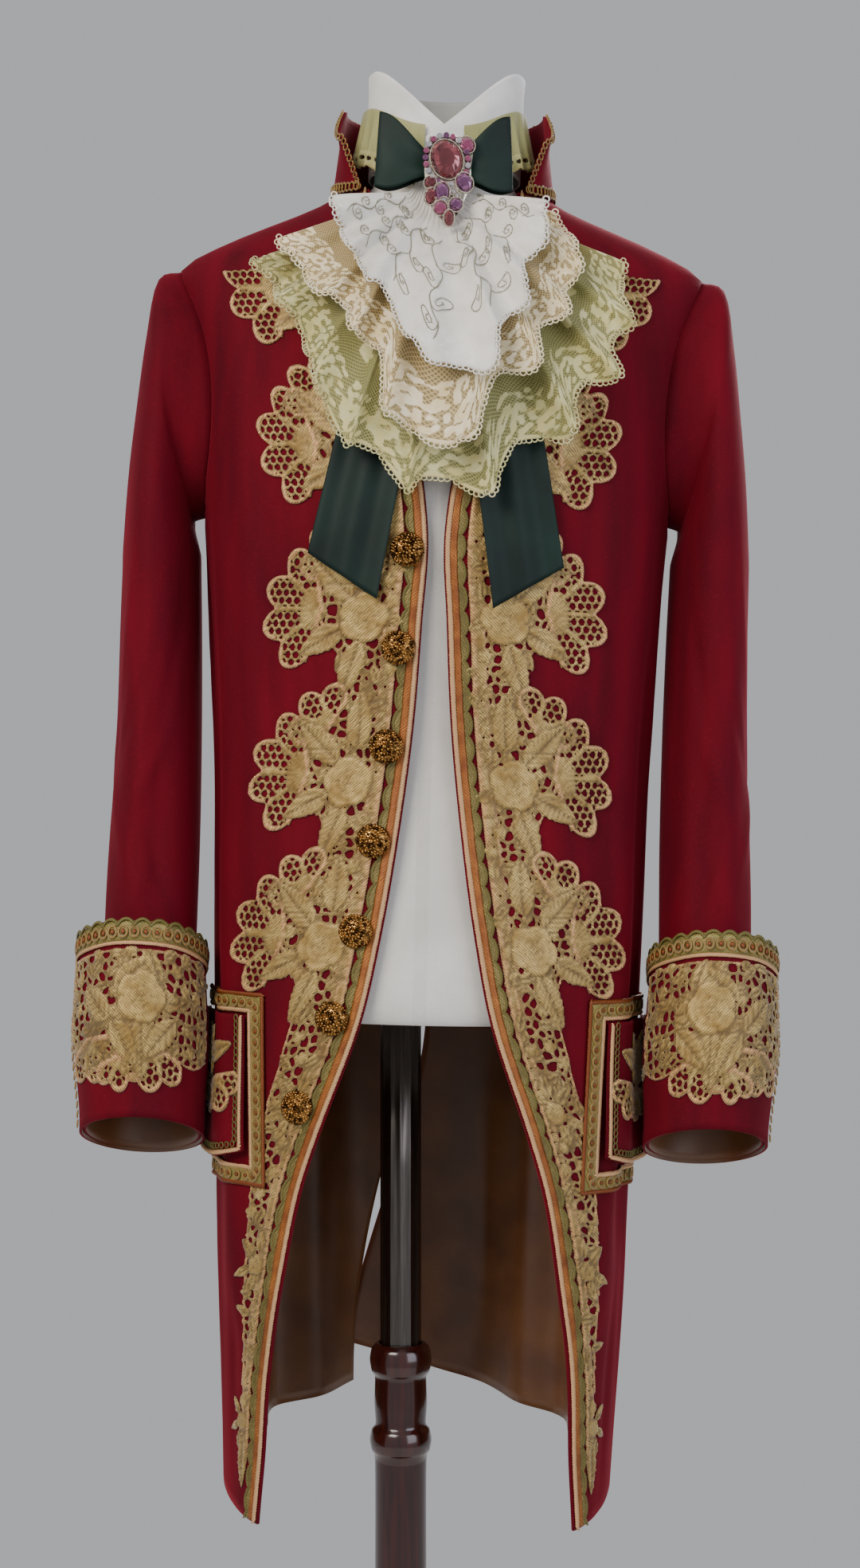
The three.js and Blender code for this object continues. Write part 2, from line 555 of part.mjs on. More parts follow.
// A fan of pointed lobes, and the open cells between its ribs.
const FAN = { opening: 150, notch: 0.8 };
function fanOutline(size, lobes) {
  const points = [[-0.1 * size, 0]];
  for (let i = 0; i <= 2 * lobes; i++) {
    const a = radians((i / (2 * lobes) - 0.5) * FAN.opening);
    const r = size * (i % 2 ? 1 : FAN.notch);
    points.push([r * Math.cos(a), r * Math.sin(a)]);
  }
  return points;
}
function fanCells(size, lobes) {
  const cells = [];
  for (let i = 0; i < lobes; i++) {
    const a = radians(((i + 0.5) / lobes - 0.5) * FAN.opening);
    const half = radians((FAN.opening / lobes) * 0.32);
    cells.push([[0.5, 0], [0.68, -half], [0.87, 0], [0.68, half]].map(([r, turn]) =>
      [r * size * Math.cos(a + turn), r * size * Math.sin(a + turn)]));
  }
  return cells;
}
const ROSE_SIDES = 7;
const roseOutline = (radius) => Array.from({ length: ROSE_SIDES }, (_, i) => {
  const a = (i / ROSE_SIDES) * 2 * Math.PI;
  return [radius * Math.cos(a), radius * Math.sin(a)];
});
const cellOutline = (radius) => [[radius, 0], [0, radius], [-radius, 0], [0, -radius]];

// A flat prism from an outline, as a solid.
function prism(outline, low, high) {
  const shape = new THREE.Shape(outline.map(([x, y]) => new THREE.Vector2(x, y)));
  const geometry = new THREE.ExtrudeGeometry(shape, { depth: high - low, bevelEnabled: false });
  geometry.translate(0, 0, low);
  geometry.deleteAttribute("normal");
  geometry.deleteAttribute("uv");
  const merged = mergeVertices(geometry, 1e-4);
  return new wasm.Manifold(new wasm.Mesh({
    numProp: 3, vertProperties: merged.attributes.position.array, triVerts: new Uint32Array(merged.index.array),
  }));
}

// Splits every edge longer than the limit, in both triangles that share it.
function splitLong(points, faces, longest) {
  const middles = new Map();
  const middle = (a, b) => {
    const key = a < b ? `${a} ${b}` : `${b} ${a}`;
    if (!middles.has(key)) {
      const long = points[a].distanceTo(points[b]) > longest;
      middles.set(key, long ? points.push(points[a].clone().lerp(points[b], 0.5)) - 1 : -1);
    }
    return middles.get(key);
  };
  const split = [];
  for (const [a, b, c] of faces) {
    const [ab, bc, ca] = [middle(a, b), middle(b, c), middle(c, a)];
    const ring = [a, ab, b, bc, c, ca].filter((i) => i >= 0);
    if (ring.length === 3) split.push(ring);
    if (ring.length === 6) split.push([a, ab, ca], [b, bc, ab], [c, ca, bc], [ab, bc, ca]);
    if (ring.length === 4 || ring.length === 5) {
      const first = ring.findIndex((i) => i === ab || i === bc || i === ca);
      const turned = ring.map((_, i) => ring[(first + i) % ring.length]);
      for (let i = 1; i + 1 < turned.length; i++) split.push([turned[0], turned[i], turned[i + 1]]);
    }
  }
  return split.length === faces.length ? split : splitLong(points, split, longest);
}

// Joins flat outlines, cuts the cells out, and lays the sheet on the cloth with place(x, y, height).
function laidSheet(outlines, cells, thick, longest, place) {
  let sheet = prism(outlines[0], 0, thick);
  for (const outline of outlines.slice(1)) sheet = sheet.add(prism(outline, 0, thick));
  for (const cell of cells) sheet = sheet.subtract(prism(cell, -1, thick + 1));
  const mesh = sheet.getMesh();
  const points = [];
  for (let i = 0; i < mesh.numVert; i++) {
    points.push(new THREE.Vector3(...mesh.vertProperties.subarray(i * mesh.numProp, i * mesh.numProp + 3)));
  }
  const faces = [];
  for (let i = 0; i < mesh.triVerts.length; i += 3) faces.push([...mesh.triVerts.subarray(i, i + 3)]);
  const split = splitLong(points, faces, longest);
  return closedGeometry(points.map((p) => place(p.x, p.y, p.z)), split);
}

// The front lace: a rose, leaves and two fans in each repeat, then roses and leaves alone down the skirt.
// along: from the front edge, up: from the rose's centre, turn: degrees, 0 points away from the edge.
const REPEAT = { pitch: 122, lowest: 512, count: 8, near: 16, fansAbove: 860, skirtBelow: 800, ends: 1390 };
const ROSE = { along: 44, radius: 25 };
const LEAF_ROWS = [
  { along: 54, up: 15, turn: 42, long: 45, wide: 22 },
  { along: 40, up: 26, turn: 88, long: 42, wide: 21 },
  { along: 60, up: -8, turn: -30, long: 38, wide: 21 },
  { along: 46, up: -18, turn: -74, long: 42, wide: 20 },
];
const FAN_ROWS = [
  { along: 76, up: 6, turn: 2, size: 52, lobes: 4, open: true },
  { along: 64, up: 40, turn: 46, size: 34, lobes: 3, open: false },
];
const LINK = { along: 38, up: 61, wide: 26, cell: 5.4 };
const LINK_CELLS = [[-5, -8], [5, 8]];
const BOX = [[-0.5, -0.5], [0.5, -0.5], [0.5, 0.5], [-0.5, 0.5]];
function frontLace(side) {
  const outlines = [];
  const cells = [];
  for (let i = REPEAT.count - 1; i >= 0; i--) {
    const z = REPEAT.lowest + i * REPEAT.pitch;
    const grow = z > REPEAT.skirtBelow ? 1 : lerp(0.36, 0.48, (z - REPEAT.lowest) / (REPEAT.skirtBelow - REPEAT.lowest));
    const along = (full) => REPEAT.near + (full - REPEAT.near) * grow;
    const at = (points, row) => turnedOutline(points, along(row.along), z + row.up * grow, row.turn, grow);
    outlines.push(turnedOutline(roseOutline(ROSE.radius), along(ROSE.along), z, 0, grow));
    for (const row of grow < 1 ? LEAF_ROWS.slice(0, 2) : LEAF_ROWS) outlines.push(at(leafOutline(row.long, row.wide), row));
    if (z > REPEAT.fansAbove) {
      for (const row of FAN_ROWS) {
        outlines.push(at(fanOutline(row.size, row.lobes), row));
        if (row.open) cells.push(...fanCells(row.size, row.lobes).map((cell) => at(cell, row)));
      }
    }
    if (i === REPEAT.count - 1) continue;
    const link = BOX.map(([a, b]) => [a * LINK.wide * grow, b * (REPEAT.pitch - 2 * ROSE.radius * grow + 16)]);
    outlines.push(turnedOutline(link, along(LINK.along), z + LINK.up, 0));
    for (const [a, b] of grow < 1 ? [] : LINK_CELLS) {
      cells.push(turnedOutline(cellOutline(LINK.cell), along(LINK.along) + a, z + LINK.up + b, 0));
    }
  }
  outlines.push(turnedOutline(leafOutline(44, 12), 25, REPEAT.lowest - 8, -94));
  cells.push(BOX.map(([a, b]) => [a * 400, REPEAT.ends + 100 + b * 200]));
  return laidSheet(outlines, cells, LACE.thick, LACE.longest, (x, y, h) => frontPoint(side, x, y, LACE.lift + h));
}
add(coat, "lace_right", frontLace(-1), GOLD_LACE);
add(coat, "lace_left", frontLace(1), GOLD_LACE);

// Cuff lace: a rose among leaves, with fans that hang towards the hand. around: degrees, 90 is the front.
const CUFF_LACE = { radius: 56, tall: 146, lobes: 3 };
const CUFF_LACE_ROWS = [
  { kind: "rose", around: 96, up: 88, turn: 0, size: 25 },
  { kind: "leaf", around: 74, up: 96, turn: 35, size: 38 },
  { kind: "leaf", around: 112, up: 100, turn: 110, size: 26 },
  { kind: "leaf", around: 128, up: 84, turn: 170, size: 38 },
  { kind: "leaf", around: 62, up: 74, turn: -12, size: 40 },
  { kind: "leaf", around: 67, up: 72, turn: 130, size: 38 },
  { kind: "leaf", around: 96, up: 70, turn: -90, size: 42 },
  { kind: "leaf", around: 124, up: 72, turn: -130, size: 38 },
  { kind: "leaf", around: 72, up: 70, turn: -60, size: 38 },
  { kind: "fan", around: 106, up: 52, turn: -96, size: 34 },
  { kind: "fan", around: 46, up: 60, turn: -76, size: 34 },
];
function cuffLace(side) {
  const outlines = [];
  const cells = [];
  for (const row of CUFF_LACE_ROWS) {
    const at = (points) => turnedOutline(points, radians(row.around) * CUFF_LACE.radius, row.up, row.turn);
    if (row.kind === "rose") outlines.push(at(roseOutline(row.size)));
    if (row.kind === "leaf") outlines.push(at(leafOutline(row.size, row.size * 0.52)));
    if (row.kind === "fan") {
      outlines.push(at(fanOutline(row.size, CUFF_LACE.lobes)));
      cells.push(...fanCells(row.size, CUFF_LACE.lobes).map(at));
    }
  }
  return laidSheet(outlines, cells, LACE.thick, LACE.longest, (x, y, h) =>
    cuffPoint(side, x / CUFF_LACE.radius, y / CUFF_LACE.tall, CLOTH + LACE.lift + 0.6 + h));
}
add(coat, "cuff_lace_right", cuffLace(-1), GOLD_LACE);
add(coat, "cuff_lace_left", cuffLace(1), GOLD_LACE);

// Pocket flaps stand off the hips, framed in front, above and below by a band of gimp.
const POCKET = { front: radians(54), back: radians(93), top: 822, bottom: 712, frame: 14, standOff: 6.5 };
function pocketFlap(side) {
  const surface = (u, v) => {
    const angle = lerp(POCKET.front, POCKET.back, u);
    const z = lerp(POCKET.top, POCKET.bottom + 8 * Math.abs(2 * u - 1) ** 2, v);
    const off = 2 + CLOTH + POCKET.standOff * smooth(v, 0, 1) * (0.55 + 0.45 * u);
    return onFront(side, angle, z).addScaledVector(bodyNormal(side, angle, z), off);
  };
  return sheetWall(surface, spread(7), [0, 0.33, 0.66, 1], CLOTH, -side);
}
function pocketFrame(side) {
  const wide = POCKET.frame;
  const inner = POCKET.front - radians(1);
  const near = inner - (wide * 1.25) / halfWidth(POCKET.top);
  const [low, high] = [POCKET.bottom - 4, POCKET.top + 3];
  const path = [
    ...spread(8).map((t) => [lerp(POCKET.back, near, t), high + wide, lerp(POCKET.back, inner, t), high]),
    ...spread(6).slice(1, -1).map((t) => [near, lerp(high + wide, low - wide, t), inner, lerp(high, low, t)]),
    ...spread(8).map((t) => [lerp(near, POCKET.back, t), low - wide, lerp(inner, POCKET.back, t), low]),
  ];
  const grid = (lift) => [0, 1].map((edge) => path.map((row) => {
    const [angle, z] = row.slice(edge * 2, edge * 2 + 2);
    return onFront(side, angle, z).addScaledVector(bodyNormal(side, angle, z), lift);
  }));
  return wallBetween(grid(SEAM + 5), grid(SEAM + 3));
}
for (const [side, hand] of [[-1, "right"], [1, "left"]]) {
  add(coat, `pocket_flap_${hand}`, pocketFlap(side), VELVET);
  add(coat, `pocket_frame_${hand}`, pocketFrame(side), TRIM);
}

// Beaded dome buttons down the wearer's right front. along: from the front edge.
const BUTTON = { radius: 13.2, tall: 10, lift: 4.35 };
const BUTTON_ROWS = [
  { along: 15, z: 1172 }, { along: 16, z: 1100 }, { along: 18, z: 1027 }, { along: 18, z: 957 }, { along: 19, z: 890 },
  { along: 22, z: 825 }, { along: 24, z: 757 },
];
const BUTTON_PROFILE = [[0, 0], [0.9, 0], [1, 0.22], [0.82, 0.66], [0.42, 0.94], [0, 1]];
BUTTON_ROWS.forEach((row, i) => {
  const angle = angleAlong(row.z, row.along);
  const profile = BUTTON_PROFILE.map(([r, h]) => ({ r: r * BUTTON.radius, z: h * BUTTON.tall }));
  const dome = turned(profile, 7);
  const facing = new THREE.Quaternion().setFromUnitVectors(new THREE.Vector3(0, 0, 1), bodyNormal(-1, angle, row.z));
  dome.applyQuaternion(facing);
  dome.translate(...frontPoint(-1, row.along, row.z, BUTTON.lift).toArray());
  add(coat, `button_${i + 1}`, dome, BEADS);
});

// The white stock: one long band wound round the neck, its two ends crossing in front in a shallow V.
const NECKBAND = { end: radians(212), radius: 58, grows: 3.6, low: 1472, high: 1555, falls: 52 };
const neckband = (u, v) => {
  const turn = lerp(-NECKBAND.end, NECKBAND.end, u);
  const radius = NECKBAND.radius + NECKBAND.grows * u + 1.5 * v;
  const top = NECKBAND.high - NECKBAND.falls * smooth(Math.abs(turn), radians(118), NECKBAND.end);
  return new THREE.Vector3(Math.sin(turn) * radius, Math.cos(turn) * radius, lerp(NECKBAND.low, top, v));
};
add(coat, "stock", sheetWall(neckband, spread(23), [0, 0.5, 1], 2, -1), STOCK);

// Lace frills inside the collar, one on each side of the throat.
const FRILL = { from: radians(100), to: radians(167), waves: 6, wave: 3 };
function frill(side) {
  const base = side < 0 ? 65 : 64.4;
  return (u, v) => {
    const turn = lerp(FRILL.from, FRILL.to, u);
    const front = smooth(turn, radians(112), radians(170));
    const out = 7.5 * v + FRILL.wave * v * Math.sin(2 * Math.PI * FRILL.waves * u);
    const z = lerp(1522 - 20 * front, 1476 - 24 * front, v);
    return new THREE.Vector3(side * Math.sin(turn) * (base + out), Math.cos(turn) * (base - 2 + out * 0.9), z);
  };
}
add(coat, "neck_frill_right", sheetWall(frill(-1), spread(16), [0, 0.5, 1], FINE_CLOTH, 1), PALE_LACE);
add(coat, "neck_frill_left", sheetWall(frill(1), spread(16), [0, 0.5, 1], FINE_CLOTH, -1), PALE_LACE);

// Bow loops: each a band of ribbon that runs out from the knot and back behind itself.
const BOW = { y: -90.5, near: 5, reach: 46, bulge: 6.5, points: 14 };
const BOW_ROWS = [
  { side: -1, name: "bow_loop_right", rise: 20, start: 1469 },
  { side: 1, name: "bow_loop_left", rise: 17, start: 1469 },
];
function bowLoop(row) {
  const ring = (inset) => [0, 0.5, 1].map((v) => Array.from({ length: BOW.points }, (_, i) => {
    const a = (i / BOW.points) * 2 * Math.PI;
    const out = (1 - Math.cos(a)) / 2;
    const x = BOW.near + BOW.reach * out + (inset ? Math.cos(a) * FINE_CLOTH : 0);
    const y = BOW.y - Math.sin(a) * (BOW.bulge - (inset ? FINE_CLOTH : 0));
    const tall = lerp(15, 50, smooth(out, 0, 0.9));
    return new THREE.Vector3(row.side * x, y, row.start + row.rise * out + (v - 0.5) * tall);
  }));
  return wallBetween(ring(false), ring(true), true);
}
for (const row of BOW_ROWS) add(coat, row.name, bowLoop(row), GREEN);

// The jabot: three ruffled fans gathered at the throat. Angles are from straight down, in degrees.
const GATHER = { x: -3, y: -81, z: 1447, start: 7, stemRise: 33, stemBack: 19 };
const FAN_LAYERS = [
  { name: "jabot_tulle", waves: 9, deep: 8, off: 0, spreads: 0, down: [0, 0.08, 0.42, 0.72, 1], finish: PALE_LACE,
    reach: [[-68, 148], [-50, 146], [-35, 162], [-20, 205], [-2, 232], [9, 232], [22, 211], [41, 192], [60, 166], [70, 145]] },
  { name: "jabot_guipure", waves: 8, deep: 7, off: 2.3, spreads: 21, down: [0, 0.1, 0.45, 1], finish: CREAM,
    reach: [[-70, 126], [-36, 122], [-18, 142], [-9, 188], [-2, 205], [8, 193], [18, 164], [43, 135], [66, 114], [78, 90]] },
  { name: "jabot_satin", waves: 7, deep: 5.5, off: 4.7, spreads: 36, down: [0, 0.12, 0.5, 1], finish: SATIN,
    reach: [[-80, 80], [-52, 84], [-26, 96], [-8, 128], [2, 152], [10, 158], [22, 128], [46, 92], [80, 82]] },
];
function reachAt(rows, degrees) {
  let i = 0;
  while (i < rows.length - 2 && rows[i + 1][0] < degrees) i++;
  return lerp(rows[i][1], rows[i + 1][1], smooth(degrees, rows[i][0], rows[i + 1][0]));
}
function fanLayer(layer) {
  const first = layer.reach[0][0];
  const last = layer.reach[layer.reach.length - 1][0];
  return (u, v) => {
    const degrees = lerp(first, last, u);
    const r = lerp(GATHER.start, reachAt(layer.reach, degrees), v);
    const x = Math.sin(radians(degrees)) * r;
    const drop = Math.cos(radians(degrees)) * r;
    const wave = layer.deep * smooth(r, 12, 120) * Math.sin(2 * Math.PI * layer.waves * u);
    const hang = 66 * smooth(drop, 0, 165) - 14 * (x / 140) ** 2;
    const y = GATHER.y - hang - layer.off - layer.spreads * smooth(r, 7, 85) - wave;
    const stem = 1 - smooth(r, GATHER.start, 24);
    return new THREE.Vector3(GATHER.x + x, y + GATHER.stemBack * stem, GATHER.z - drop + GATHER.stemRise * stem);
  };
}
for (const layer of FAN_LAYERS) {
  add(coat, layer.name, sheetWall(fanLayer(layer), spread(layer.waves * 4), layer.down, FINE_CLOTH, 1), layer.finish);
}

// Ribbon tails lie on the breast and come out under the jabot, each with two pressed tucks.
const TAIL_ROWS = [
  { name: "ribbon_tail_right", side: -1, top: 1300, low: 1152, xTop: -40, xLow: -69, slant: 34 },
  { name: "ribbon_tail_left", side: 1, top: 1300, low: 1146, xTop: 44, xLow: 69, slant: 32 },
];
const TAIL = { wide: 52, tuck: 1.8, lift: 4.3 };
function ribbonTail(row) {
  return (u, v) => {
    const z = lerp(row.top, row.low, v) + row.slant * (u - 0.5) * row.side * v;
    const x = lerp(row.xTop, row.xLow, v) + (u - 0.5) * TAIL.wide;
    const y = -frontDepth(z) * Math.sqrt(1 - (x / halfWidth(z)) ** 2);
    return new THREE.Vector3(x, y - TAIL.lift - TAIL.tuck * (1 + Math.cos(4 * Math.PI * u)), z);
  };
}
for (const row of TAIL_ROWS) add(coat, row.name, sheetWall(ribbonTail(row), spread(8), spread(4), FINE_CLOTH, 1), GREEN);

// The brooch: a large oval stone over a cluster that tapers to a point, pinned over the gathers.
const BROOCH = { x: 0, y: -99.0, top: 1497, low: 1417, lean: 0.085, points: 14 };
const BROOCH_ROWS = [{ size: 1, out: 0 }, { size: 1, out: 4 }, { size: 0.72, out: 9 }];
function brooch() {
  const points = [];
  const faces = [];
  const middle = (BROOCH.top + BROOCH.low) / 2;
  const tall = (BROOCH.top - BROOCH.low) / 2;
  for (const row of BROOCH_ROWS) {
    for (let i = 0; i < BROOCH.points; i++) {
      const a = (i / BROOCH.points) * 2 * Math.PI;
      const z = Math.cos(a) * tall * row.size;
      const wide = lerp(15, 22, smooth(Math.cos(a), -0.7, 0.3)) * row.size;
      points.push(new THREE.Vector3(BROOCH.x + Math.sin(a) * wide, BROOCH.y - row.out + BROOCH.lean * z, middle + z));
    }
  }
  const n = BROOCH.points;
  for (let r = 0; r < 2; r++) {
    for (let i = 0; i < n; i++) {
      const [a, b] = [r * n + i, r * n + ((i + 1) % n)];
      faces.push([a, b, b + n], [a, b + n, a + n]);
    }
  }
  for (let i = 1; i + 1 < n; i++) faces.push([0, i + 1, i], [2 * n, 2 * n + i, 2 * n + i + 1]);
  return closedGeometry(points, faces);
}
add(coat, "brooch", brooch(), STONES);

coat.position.set(0, 0, -PLATE_Z);
const leaning = new THREE.Group();
leaning.add(coat);
leaning.position.set(COAT_SHIFT_X, 0, PLATE_Z);
leaning.rotation.y = COAT_LEAN;
const model = new THREE.Group();
model.add(leaning, stand);
export default model;
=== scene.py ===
"""A rococo jacket of dark red velvet with gold lace, on a limbless dress form."""
import math
import random

import bpy
import numpy as np
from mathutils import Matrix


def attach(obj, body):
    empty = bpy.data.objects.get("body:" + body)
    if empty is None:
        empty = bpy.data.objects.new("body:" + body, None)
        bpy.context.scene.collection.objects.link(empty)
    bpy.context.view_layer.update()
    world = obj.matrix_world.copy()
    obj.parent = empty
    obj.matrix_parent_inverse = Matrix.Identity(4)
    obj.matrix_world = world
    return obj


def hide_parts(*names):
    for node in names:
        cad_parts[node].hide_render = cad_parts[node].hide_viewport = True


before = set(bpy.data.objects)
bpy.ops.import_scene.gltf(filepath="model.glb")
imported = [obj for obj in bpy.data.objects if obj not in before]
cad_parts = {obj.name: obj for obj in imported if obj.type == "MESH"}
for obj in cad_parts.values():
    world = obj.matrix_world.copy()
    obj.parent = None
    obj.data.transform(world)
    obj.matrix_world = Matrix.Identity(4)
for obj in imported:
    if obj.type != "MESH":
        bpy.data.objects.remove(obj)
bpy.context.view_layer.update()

# Camera: level and two metres in front of the pole, as the photographer stood, with the picture upright.
# The middle of the picture is at the jacket's waist.
def placed(name, data):
    """An object at the origin, linked to the scene."""
    made = bpy.data.objects.new(name, data)
    bpy.context.scene.collection.objects.link(made)
    return made


camera = placed("camera", bpy.data.cameras.new("camera"))
camera.location = (0.023, -2.0, 1.0)
camera.rotation_euler = (math.radians(90), 0, 0)
camera.data.sensor_width = 36
camera.data.lens = 58.5
bpy.context.scene.camera = camera


# Floor and light: a pale matt round floor, and studio light that is soft because its lamps are large. The
# key comes from the upper left, a fill from the right and a rim light from behind.
def linear(code):
    """A colour written as sRGB hex, as linear red, green, blue and alpha."""
    parts = [int(code[i:i + 2], 16) / 255 for i in (1, 3, 5)]
    return tuple(p / 12.92 if p <= 0.04045 else ((p + 0.055) / 1.055) ** 2.4 for p in parts) + (1,)


def add_node(tree, kind, settings=(), links=()):
    """Adds a node, gives its inputs and settings their values, and links its inputs."""
    made = tree.nodes.new(kind)
    for name, value in dict(settings).items():
        if isinstance(name, int) or name in made.inputs:
            made.inputs[name].default_value = value
        else:
            setattr(made, name, value)
    for name, source in dict(links).items():
        tree.links.new(source, made.inputs[name])
    return made


def start_material(name, values):
    """A new material with values on its principled shader: the material, its tree and the shader."""
    made = bpy.data.materials.new(name)
    made.use_nodes = True
    shader = made.node_tree.nodes["Principled BSDF"]
    for key, value in values.items():
        shader.inputs[key].default_value = value
    return made, made.node_tree, shader


def feed(tree, socket, value):
    """Gives an input a value, or links an output to it."""
    if isinstance(value, bpy.types.NodeSocket):
        tree.links.new(value, socket)
    else:
        socket.default_value = value


def mix_colours(tree, share, first, second):
    """A colour between two: each is a linear colour or an output, share is an output."""
    made = add_node(tree, "ShaderNodeMix", {"data_type": "RGBA"}, {"Factor": share})
    feed(tree, made.inputs[6], first)
    feed(tree, made.inputs[7], second)
    return made.outputs[2]


def paint(tree, shader, share, first, second):
    """Gives the shader a base colour between two."""
    tree.links.new(mix_colours(tree, share, first, second), shader.inputs["Base Color"])


def object_place(tree):
    """The texture place that is fixed to the object."""
    return add_node(tree, "ShaderNodeTexCoord").outputs["Object"]


def drawn_out(tree, place, share):
    """Squeezes places along z, so that a pattern on them is drawn out upward."""
    return add_node(tree, "ShaderNodeMapping", {"Scale": (1, 1, share)}, {"Vector": place}).outputs["Vector"]


def spread_of(tree, value, low, high):
    """Stretches a value so that low becomes 0 and high becomes 1."""
    settings = {"From Min": low, "From Max": high}
    return add_node(tree, "ShaderNodeMapRange", settings, {"Value": value}).outputs["Result"]


def noise(tree, place, size_mm, detail=3.0):
    """Soft noise with patches of this size."""
    settings = {"Scale": 1000 / size_mm, "Detail": detail}
    return add_node(tree, "ShaderNodeTexNoise", settings, {"Vector": place}).outputs["Fac"]


def bump(tree, shader, height, strength, depth_mm):
    """Raises the surface by a height that runs from 0 to 1."""
    settings = {"Strength": strength, "Distance": depth_mm / 1000}
    made = add_node(tree, "ShaderNodeBump", settings, {"Height": height})
    tree.links.new(made.outputs["Normal"], shader.inputs["Normal"])


def area_light(name, place, aim, size, watts, colour):
    """A square lamp of this size in metres, aimed at a point."""
    data = bpy.data.lights.new(name, "AREA")
    data.size = size
    data.energy = watts
    data.color = linear(colour)[:3]
    lamp = placed(name, data)
    lamp.location = place
    way = np.array(aim) - np.array(place)
    flat = math.hypot(way[0], way[1])
    lamp.rotation_euler = (math.atan2(flat, -way[2]), 0, math.atan2(-way[0], way[1]))


area_light("key", (-1.5, -2.3, 2.5), (0, 0, 1.15), 1.5, 84, "#fff6ec")
area_light("fill", (1.9, -1.9, 1.5), (0, 0, 1.0), 1.8, 34, "#eef2ff")
area_light("rim", (0.9, 1.9, 2.2), (0, 0, 1.1), 1.2, 38, "#ffffff")
world = bpy.data.worlds.new("studio")
world.use_nodes = True
world.node_tree.nodes["Background"].inputs["Color"].default_value = linear("#b9babd")
world.node_tree.nodes["Background"].inputs["Strength"].default_value = 0.95
bpy.context.scene.world = world

# The floor is matt paint, whose two greys differ so little that it looks plain.
floor_paint, floor_tree, floor_shader = start_material("floor", {"Roughness": 0.7})
floor_patches = noise(floor_tree, object_place(floor_tree), 400)
paint(floor_tree, floor_shader, floor_patches, linear("#c9c8c6"), linear("#d6d5d3"))


def mesh_object(name, points, faces, materials, face_slots=None, uvs=None, smooth=True):
    """An object at the origin from points in metres, with one material per face and a uv per point."""
    data = bpy.data.meshes.new(name)
    data.from_pydata([tuple(p) for p in points], [], [tuple(f) for f in faces])
    for material in materials:
        data.materials.append(material)
    if face_slots is not None:
        data.polygons.foreach_set("material_index", np.asarray(face_slots, dtype=np.int32))
    if uvs is not None:
        corner = np.empty(len(data.loops), dtype=np.int32)
        data.loops.foreach_get("vertex_index", corner)
        layer = data.uv_layers.new(name="cloth")
        layer.data.foreach_set("uv", np.asarray(uvs, dtype=np.float32)[corner].ravel())
    data.polygons.foreach_set("use_smooth", np.full(len(data.polygons), smooth))
    return placed(name, data)


def turns_of(count):
    """Angles of this many even steps round a circle."""
    return np.arange(count) / count * 2 * math.pi


FLOOR_RADIUS, FLOOR_SIDES = 1.1, 96
floor_turn = turns_of(FLOOR_SIDES)
floor_ring = FLOOR_RADIUS * np.stack([np.cos(floor_turn), np.sin(floor_turn), 0 * floor_turn], -1)
mesh_object("floor", floor_ring, [range(FLOOR_SIDES)], [floor_paint])


# Stand: a dark steel pole with shallow flutes in a turned and varnished mahogany post, on a round base.
# The pole sits in the post's bore; the photograph ends at the post, so the base is plain.
def wood(name, dark, light):
    """Varnished wood: a grain that runs upward under a clear coat, which gives it deep, wet highlights."""
    made, tree, shader = start_material(name, {"Roughness": 0.22, "Coat Weight": 0.6, "Coat Roughness": 0.08})
    along = drawn_out(tree, object_place(tree), 0.06)
    grain = noise(tree, along, 3.5, 6.0)
    broad = mix_colours(tree, noise(tree, along, 22), linear(dark), linear(light))
    paint(tree, shader, spread_of(tree, grain, 0.35, 0.7), broad, linear(dark))
    bump(tree, shader, grain, 0.15, 0.2)
    return made


def turned_rings(profile, count, flutes=0, depth=0.0):
    """Closed points and faces of a profile of (radius, height) in mm, turned round z."""
    turn = turns_of(count)
    ripple = 1 - depth * np.abs(np.sin(turn * flutes / 2)) if flutes else np.ones(count)
    rings = [np.stack([r * ripple * np.cos(turn), r * ripple * np.sin(turn), 0 * turn + z], -1)
             for r, z in profile]
    points = np.concatenate(rings) / 1000
    at = np.arange(count)
    after = (at + 1) % count
    starts = [k * count for k in range(len(profile) - 1)]
    faces = [list(quad) for low in starts
             for quad in zip(low + at, low + after, low + count + after, low + count + at)]
    faces += [list(at[::-1]), list((len(profile) - 1) * count + at)]
    return points, faces


def rounded(profile, steps=4, ease=0.28):
    """Cuts each corner of a profile with a short curve."""
    out = [profile[0]]
    sharp = [np.array(p, dtype=float) for p in profile]
    for before, corner, after in zip(sharp, sharp[1:], sharp[2:]):
        start = corner + (before - corner) * ease
        end = corner + (after - corner) * ease
        for t in np.linspace(0, 1, steps):
            out.append(tuple((1 - t) ** 2 * start + 2 * t * (1 - t) * corner + t * t * end))
    return out + [profile[-1]]


def dress(made, slot, *nodes):
    """Rides a piece on the part's one body, in place of these CAD nodes."""
    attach(made, "root")
    if nodes:
        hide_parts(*nodes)


# radius, height
POST_PROFILE = [(34, 34.4), (36, 46), (30, 58), (22, 66), (20, 90), (20.5, 300), (20, 474), (23, 478),
                (24.5, 486), (23, 494), (19.5, 498), (21, 516), (20, 536), (23, 540), (24.5, 549),
                (23, 558), (19, 562), (16.6, 562), (16.6, 545)]
BASE_PROFILE = [(191, 0), (195, 5), (195, 16), (183, 24), (110, 30), (40, 34)]
POLE_PROFILE = [(16, 546), (16, 560), (16, 700), (16, 819)]
mahogany = wood("mahogany", "#1c0705", "#4a150d")
for stand_name, profile in (("stand_post", POST_PROFILE), ("stand_base", BASE_PROFILE)):
    made = mesh_object(stand_name + "_turned", *turned_rings(rounded(profile), 72), [mahogany])
    dress(made, "mahogany", stand_name)

